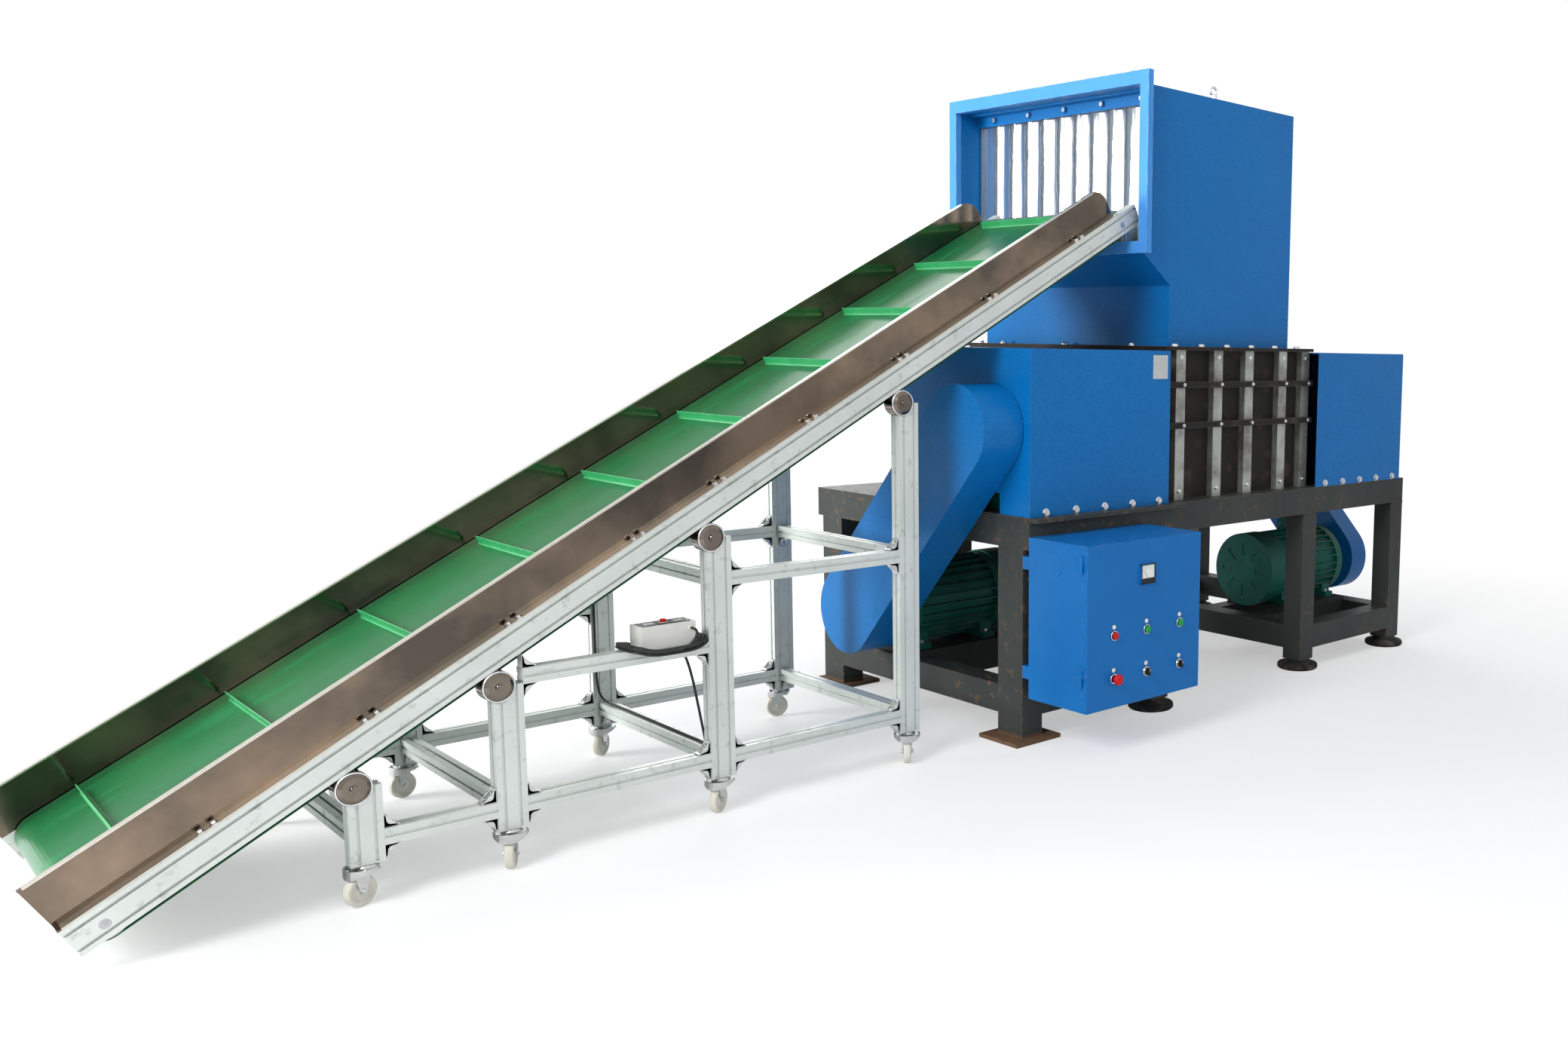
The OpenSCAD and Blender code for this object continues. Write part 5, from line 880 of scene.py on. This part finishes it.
# The lips' paler steel is the guard's own steel painted lighter: a painted highlight.
lip_highlight_steel = plain("lip_highlight_steel", (70.0, 4.0), (0.50, 0.46, 0.40), (0.72, 0.69, 0.62),
                  (0.14, 0.15), (0.1, 0.0006), Metallic=0.9)
lips = bmesh.new()
guard_bolt_heads = bmesh.new()
TAIL, GUARD_HEAD, END_R = -CONVEYOR_LEN - TAIL_RUN, -0.003, 0.070
LIP_W, LIP_BACK, SKIN, PAIR_HALF, PAIR_IN, PAIR_TOP = 0.014, 0.01, 0.0006, 0.016, 0.016, 0.0484
PAIR_SHARES = (0.06, 0.19, 0.31, 0.42, 0.52, 0.60, 0.71, 0.82, 0.93)
for side in (-1, 1):
    ys = sorted((side * (INNER_HALF + GUARD_T + LIP_W + SKIN), side * (INNER_HALF - SKIN)))
    slope_block(lips, (TAIL + LIP_BACK, ys[0], GUARD_TOP - GUARD_T - SKIN),
                (GUARD_HEAD - END_R, ys[1], GUARD_TOP + SKIN))
    ys = sorted((side * (CONVEYOR_HALF - GUARD_T + SKIN), side * (INNER_HALF + GUARD_T * 0.5)))
    slope_block(lips, (TAIL + LIP_BACK, ys[0], BEAM_TOP + 0.0002),
                (GUARD_HEAD - 0.004, ys[1], BEAM_TOP + GUARD_T + SKIN))
    for share in PAIR_SHARES:
        for step in (-PAIR_HALF, PAIR_HALF):
            place = on_slope(-share * CONVEYOR_LEN + step, side * (CONVEYOR_HALF - PAIR_IN), PAIR_TOP)
            hex_bolt(guard_bolt_heads, place, OFF_SLOPE, 0.0100)
piece("guard_lips", lips, lip_highlight_steel, "root", smooth=False)
piece("guard_bolt_heads", guard_bolt_heads, zinc, "root", smooth=False)

# Belt: one endless loop of glossy green PVC with welded cross cleats, whose blades are a little
# paler and let light through at their edge.
green_belt = Finish("green_belt")
belt_cloud = green_belt.noise(3.5, 5.0)
belt_weave = green_belt.noise(260.0, 3.0)
belt_scuff = green_belt.noise(14.0, 5.0, (0.25, 1, 0.25)).above(0.55, 0.12)
green_belt.set(Base_Color=green_belt.mix(belt_scuff * 0.35, green_belt.mix(
    belt_cloud, rgb(0.0005, 0.072, 0.020), rgb(0.002, 0.125, 0.034)), rgb(0.008, 0.16, 0.055)),
    Roughness=0.26 + belt_weave * 0.1 + belt_scuff * 0.15, Coat_Weight=0.08, Coat_Roughness=0.1)
green_belt.bump(belt_weave * 0.3 + belt_cloud * 0.7, 0.2, 0.003)
BELT_R, BELT_T, BELT_HALF, ARC = 0.060, 0.003, 0.390, 20
belt = bmesh.new()
loop = []
for centre, start in ((0.0, -90), (-CONVEYOR_LEN, 90)):
    for k in range(ARC + 1):
        angle = math.radians(start + 180 * k / ARC)
        loop.append((centre, math.cos(angle), math.sin(angle)))
RUN_STEPS = 40
rows = []
for k, (centre, cosine, sine) in enumerate(loop):
    rows.append((centre, cosine, sine))
    if k in (ARC, 2 * ARC + 1):
        following = loop[(k + 1) % len(loop)]
        for step in range(1, RUN_STEPS):
            rows.append((centre + (following[0] - centre) * step / RUN_STEPS, cosine, sine))
edges = []
for centre, cosine, sine in rows:
    edges.append([belt.verts.new(on_slope(centre + r * cosine, y, r * sine))
                  for r, y in ((BELT_R, -BELT_HALF), (BELT_R, BELT_HALF), (BELT_R - BELT_T, BELT_HALF),
                               (BELT_R - BELT_T, -BELT_HALF))])
bridge(belt, edges + edges[:1])
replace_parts(piece("conveyor_belt_loop", belt, green_belt, "root", smooth=False),
            "conveyor_belt")
cleat_green = plain("cleat_green", (9.0, 4.0), (0.012, 0.23, 0.075), (0.04, 0.36, 0.12),
                    (0.22, 0.1), (0.2, 0.003),
                    Transmission_Weight=0.15, IOR=1.45)
CLEAT_H, CLEAT_PITCH, FIRST_CLEAT, CLEAT_INSET = 0.028, 0.400, 0.075, 0.070
CLEAT_PROFILE = [(-0.0075, -0.0006), (-0.0035, 0.003), (-0.0022, 0.008), (-0.0015, CLEAT_H - 0.0008),
                 (0.0, CLEAT_H - 0.0002), (0.0015, CLEAT_H - 0.0008), (0.0022, 0.008), (0.0035, 0.003),
                 (0.0075, -0.0006)]
cleats = bmesh.new()
for side in (-1, 1):
    along = -FIRST_CLEAT
    while along > -CONVEYOR_LEN:
        near, far = ([cleats.verts.new(on_slope(along + s, y, side * (BELT_R + h))) for s, h in CLEAT_PROFILE]
                     for y in (-BELT_HALF + CLEAT_INSET, BELT_HALF - CLEAT_INSET))
        next_near, next_far = near[1:] + near[:1], far[1:] + far[:1]
        for face in list(zip(near, far, next_far, next_near)) + [near, far[::-1]]:
            cleats.faces.new(face if side > 0 else face[::-1])
        along -= CLEAT_PITCH
piece("belt_cleats", cleats, cleat_green, "root", smooth=False)

# Slider bed, cross ties and drum pulleys: galvanised sheet and lagged steel drums.
sheet_steel = Finish("sheet_steel")
spangle = sheet_steel.node("ShaderNodeTexVoronoi", {"Vector": sheet_steel.place, "Scale": 60.0}, out=0)
sheet_cloud = sheet_steel.noise(6.0, 4.0)
sheet_steel.set(Base_Color=sheet_steel.mix(spangle * 0.6 + sheet_cloud * 0.4, rgb(0.30, 0.31, 0.32),
                                           rgb(0.52, 0.53, 0.54)),
                Metallic=0.75, Roughness=0.3 + spangle * 0.2)
sheet_steel.bump(sheet_cloud, 0.15, 0.002)
dress(sheet_steel, "conveyor_bed", "head_pulley", "tail_pulley")

# Stand hardware: bright die-cast angle brackets bolted into the slots wherever a rail meets a
# post, above and below the rail.
bracket_metal = plain("bracket_metal", (80.0, 4.0), (0.48, 0.49, 0.48), (0.70, 0.72, 0.71),
                      (0.2, 0.2), (0.25, 0.001), Metallic=0.85)
POST_XS = [-3.383 + share * 1.728 for share in (0, 0.212, 0.583, 1)]
POST_L, POST_W, RAIL_W, BRACKET, BRACKET_HALF = 0.082, 0.044, 0.045, 0.040, 0.0156
NEAR_Y, FAR_Y, CHEEK_T, BRACKET_BOLT = -0.528, 0.303, 0.003, 0.0072
OUTLINE = [(0, 0), (BRACKET, 0), (BRACKET, 0.005), (0.014, 0.009), (0.009, 0.014), (0.005, BRACKET),
           (0, BRACKET)]
CHEEK = [(0.0005, 0.0005), (BRACKET - 0.002, 0.0005), (0.0005, BRACKET - 0.002)]
LOW_RAIL, MID_RAIL, TOP_RAIL = 0.152, 0.522, 0.728


def corner_bracket(mesh, bolts, corner, along, up):
    corner, along, up = Vector(corner), Vector(along), Vector(up)
    side = along.cross(up)
    for shape, low, high in ((OUTLINE, -BRACKET_HALF, BRACKET_HALF),
                             (CHEEK, -BRACKET_HALF, -BRACKET_HALF + CHEEK_T),
                             (CHEEK, BRACKET_HALF - CHEEK_T, BRACKET_HALF)):
        ends = [[mesh.verts.new(corner + along * a + up * b + side * w) for a, b in shape]
                for w in (low, high)]
        bridge(mesh, ends)
        mesh.faces.new(ends[0][::-1])
        mesh.faces.new(ends[1])
    for across_way, bolt_way in ((along, up), (up, along)):
        hex_bolt(bolts, corner + across_way * 0.026 + bolt_way * 0.006, bolt_way, BRACKET_BOLT)


brackets = bmesh.new()
bracket_bolts = bmesh.new()
for a, b, z in ((0, 1, LOW_RAIL), (1, 2, LOW_RAIL), (2, 3, LOW_RAIL), (1, 2, MID_RAIL), (2, 3, TOP_RAIL)):
    for y in (NEAR_Y, FAR_Y):
        for x, way in ((POST_XS[a] + POST_L / 2, 1), (POST_XS[b] - POST_L / 2, -1)):
            for level, up in ((z, -1), (z + RAIL_W, 1)):
                if level > z and a == 1 and z == MID_RAIL and y == NEAR_Y and way == -1:
                    continue
                corner_bracket(brackets, bracket_bolts, at(x, y, level), (way, 0, 0), (0, 0, up))
for x, z in [(x, LOW_RAIL) for x in POST_XS] + [(x, TOP_RAIL) for x in POST_XS[2:]]:
    for y, way in ((NEAR_Y + POST_W / 2, 1), (FAR_Y - POST_W / 2, -1)):
        corner_bracket(brackets, bracket_bolts, at(x, y, z), (0, way, 0), (0, 0, -1))
bmesh.ops.recalc_face_normals(brackets, faces=brackets.faces)
piece("stand_brackets", brackets, bracket_metal, "root", smooth=False, bevel=0.0008)
piece("stand_bracket_bolts", bracket_bolts, zinc, "root", smooth=False)

# Pivot joints: polished domes between post and beam, their dark brown a painted reflection, each in a bright
# rim with a bolt.
# The brown base colour of the polished domes is a painted reflection.
disc_steel = plain("disc_steel", (16.0, 4.0), (0.11, 0.095, 0.08), (0.26, 0.22, 0.18),
                   (0.1, 0.1), (0.08, 0.002), Metallic=1.0)
dress(disc_steel, "pivot_discs")
PIVOT_R, PIVOT_BACK, PIVOT_GAP, CAP_SEAT = 0.045, 0.025, 0.0002, 0.0048
PIVOT_RIM = [(PIVOT_R - 0.0052, 0.0001), (PIVOT_R - 0.0003, 0.0001), (PIVOT_R - 0.0003, 0.003),
             (PIVOT_R - 0.002, 0.0046), (PIVOT_R - 0.0045, 0.0046)]
BOLT_CAP = [(0, 0), (0.016, 0), (0.015, 0.002), (0.011, 0.003), (0.009, 0.009), (0.005, 0.0115), (0, 0.0122)]
pivot_rims = bmesh.new()
pivot_bolts = bmesh.new()
for post_x in POST_XS:
    pivot_x = post_x - PIVOT_BACK
    pivot_z = (HEAD_Z + (pivot_x + HEAD_X) * math.tan(SLOPE)
               + (BEAM_LOW - PIVOT_R - PIVOT_GAP) / math.cos(SLOPE))
    for y, way in ((NEAR_Y - POST_W / 2, -1), (FAR_Y + POST_W / 2, 1)):
        place = at(pivot_x, y, pivot_z)
        ring_lathe(pivot_rims, PIVOT_RIM, place, (0, way, 0), 56)
        lathe(pivot_bolts, BOLT_CAP, place + Vector((0, way * CAP_SEAT, 0)), (0, way, 0), 32)
piece("pivot_rims", pivot_rims, zinc, "root")
piece("pivot_bolt_caps", pivot_bolts, chrome, "root")

# Casters: pressed zinc forks on a swivel head, cream nylon wheels with a dished hub, an axle
# bolt each side and a two-eared brake pedal round the fork.
fork_steel = plain("fork_steel", (40.0, 4.0), (0.42, 0.43, 0.42), (0.70, 0.71, 0.70),
                   (0.14, 0.18), (0.15, 0.001), Metallic=0.95)
dress(fork_steel, *[f"caster_fork_{n}" for n in range(1, 9)])
wheel_plastic = plastic("wheel_plastic", (0.52, 0.50, 0.42), (0.72, 0.70, 0.62), 0.32)
CASTER_TURNS = (20, 60, 35, 55, -30, 15, 40, -20)
TRAIL, WHEEL_R, WHEEL_HALF, CROWN_Z, PEDAL_STEPS, PEDAL_TOP = 0.022, 0.042, 0.013, 0.087, 17, 0.017
HALF_WHEEL = [(WHEEL_R, 0.0070), (0.0402, 0.0112), (0.0365, WHEEL_HALF), (0.030, WHEEL_HALF), (0.027, 0.0098),
              (0.014, 0.0098), (0.012, WHEEL_HALF), (0.0042, WHEEL_HALF)]
WHEEL = [(radius, -height) for radius, height in HALF_WHEEL[::-1]] + HALF_WHEEL
CROWN = [(0.0, 0.0), (0.027, 0.0), (0.030, 0.004), (0.030, 0.010), (0.026, 0.0145), (0.0, 0.0145)]
EAR = [(-0.030, 0.016, 0.002), (-0.030, 0.040, 0.010), (-0.018, 0.040, 0.010), (-0.018, 0.016, 0.002)]
EAR_T, FORK_HALF, AXLE_BOLT, CROWN_SEAT = 0.004, 0.0163, 0.0078, 0.0068
EAR_FACES = ((0, 1, 2, 3), (7, 6, 5, 4), (0, 4, 5, 1), (1, 5, 6, 2), (2, 6, 7, 3), (3, 7, 4, 0))
for n in range(8):
    heading = Matrix.Rotation(math.radians(CASTER_TURNS[n]), 3, "Z")
    foot = at(POST_XS[n % 4], NEAR_Y if n < 4 else FAR_Y, 0)
    axle = foot + heading @ Vector((-TRAIL, 0, WHEEL_R))
    wheel = bmesh.new()
    ring_lathe(wheel, WHEEL, axle, heading @ Vector((0, 1, 0)), 48)
    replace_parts(piece(f"caster_tyre_{n + 1}", wheel, wheel_plastic, f"caster_wheel_{n + 1}"),
                f"caster_wheel_{n + 1}")
    fittings = bmesh.new()
    for side in (-1, 1):
        hex_bolt(fittings, axle + heading @ Vector((0, side * FORK_HALF, 0)),
                 heading @ Vector((0, side, 0)), AXLE_BOLT)
    lathe(fittings, CROWN, foot + Vector((0, 0, CROWN_Z + CROWN_SEAT)), (0, 0, 1), 36)
    pedal = []
    for k in range(PEDAL_STEPS):
        turn = math.radians(-104 + 13 * k)
        reach = 0.043 + 0.010 * math.cos(turn)
        height = 0.006 + 0.020 * math.cos(turn) ** 2
        bend = heading @ Vector((-reach * math.cos(turn), reach * math.sin(turn), 0))
        outward = bend.normalized() * 0.0024
        top = CROWN_Z + PEDAL_TOP
        pedal.append([fittings.verts.new(foot + bend + outward * w + Vector((0, 0, z)))
                      for w, z in ((-1, top), (1, top), (1, top - height), (-1, top - height))])
    bridge(fittings, pedal)
    fittings.faces.new(pedal[0][::-1])
    fittings.faces.new(pedal[-1])
    for side in (-1, 1):
        ear = [fittings.verts.new(foot + heading @ Vector((x, side * y, CROWN_Z + z + lift)))
               for lift in (0, EAR_T) for x, y, z in EAR]
        for face in EAR_FACES:
            fittings.faces.new([ear[i] for i in face])
    bmesh.ops.recalc_face_normals(fittings, faces=fittings.faces)
    piece(f"caster_fittings_{n + 1}", fittings, fork_steel, f"caster_fork_{n + 1}",
          smooth=False, bevel=0.0005)

# Control box: pale moulded box on the rail with a dark screwed top plate and a red mushroom
# button, its cable going in through a short gland.
box_plastic = plastic("box_plastic", (0.60, 0.60, 0.56), (0.74, 0.74, 0.70), 0.35)
dress(box_plastic, "control_box")
BOX_TOP, PLATE_MARGIN, PLATE_OUT = 0.6352, 0.010, 0.0016
PLATE_X, PLATE_Y, SCREW_IN, LABEL_X, LABEL_W, LABEL_H = BOX_L / 2, BOX_W / 2, 0.018, 0.045, 0.016, 0.012
box_place = at(BOX_MID.x, BOX_MID.y, BOX_TOP)


def box_block(mesh, x, half_x, half_y, low, high):
    block(mesh, box_place + Vector((x - half_x, -half_y, low)),
          box_place + Vector((x + half_x, half_y, high)))


top_plate = bmesh.new()
box_block(top_plate, 0, PLATE_X - PLATE_MARGIN, PLATE_Y - PLATE_MARGIN, -0.0002, PLATE_OUT)
piece("control_box_plate", top_plate, black_plastic, "root", smooth=False, bevel=0.0006)
box_trim = bmesh.new()
for sx in (-1, 1):
    for sy in (-1, 1):
        lathe(box_trim, [(0, 0), (0.0036, 0), (0.003, 0.0016), (0, 0.0020)], box_place + Vector((
            sx * (PLATE_X - SCREW_IN), sy * (PLATE_Y - SCREW_IN), PLATE_OUT)), (0, 0, 1), 16)
    box_block(box_trim, sx * LABEL_X, LABEL_W, LABEL_H, 0.0014, 0.0022)
piece("control_box_trim", box_trim, plate_steel, "root", smooth=False)
box_button = bmesh.new()
lathe(box_button, [(0, -0.012), (0.0095, -0.012), (0.0095, 0.008), (0.0098, 0.0088), (0.0092, 0.0106),
                   (0.0070, 0.0119), (0, 0.0120)], box_place, (0, 0, 1))
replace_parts(piece("control_box_cap", box_button, red_plastic, "control_box_button"),
            "control_box_button")
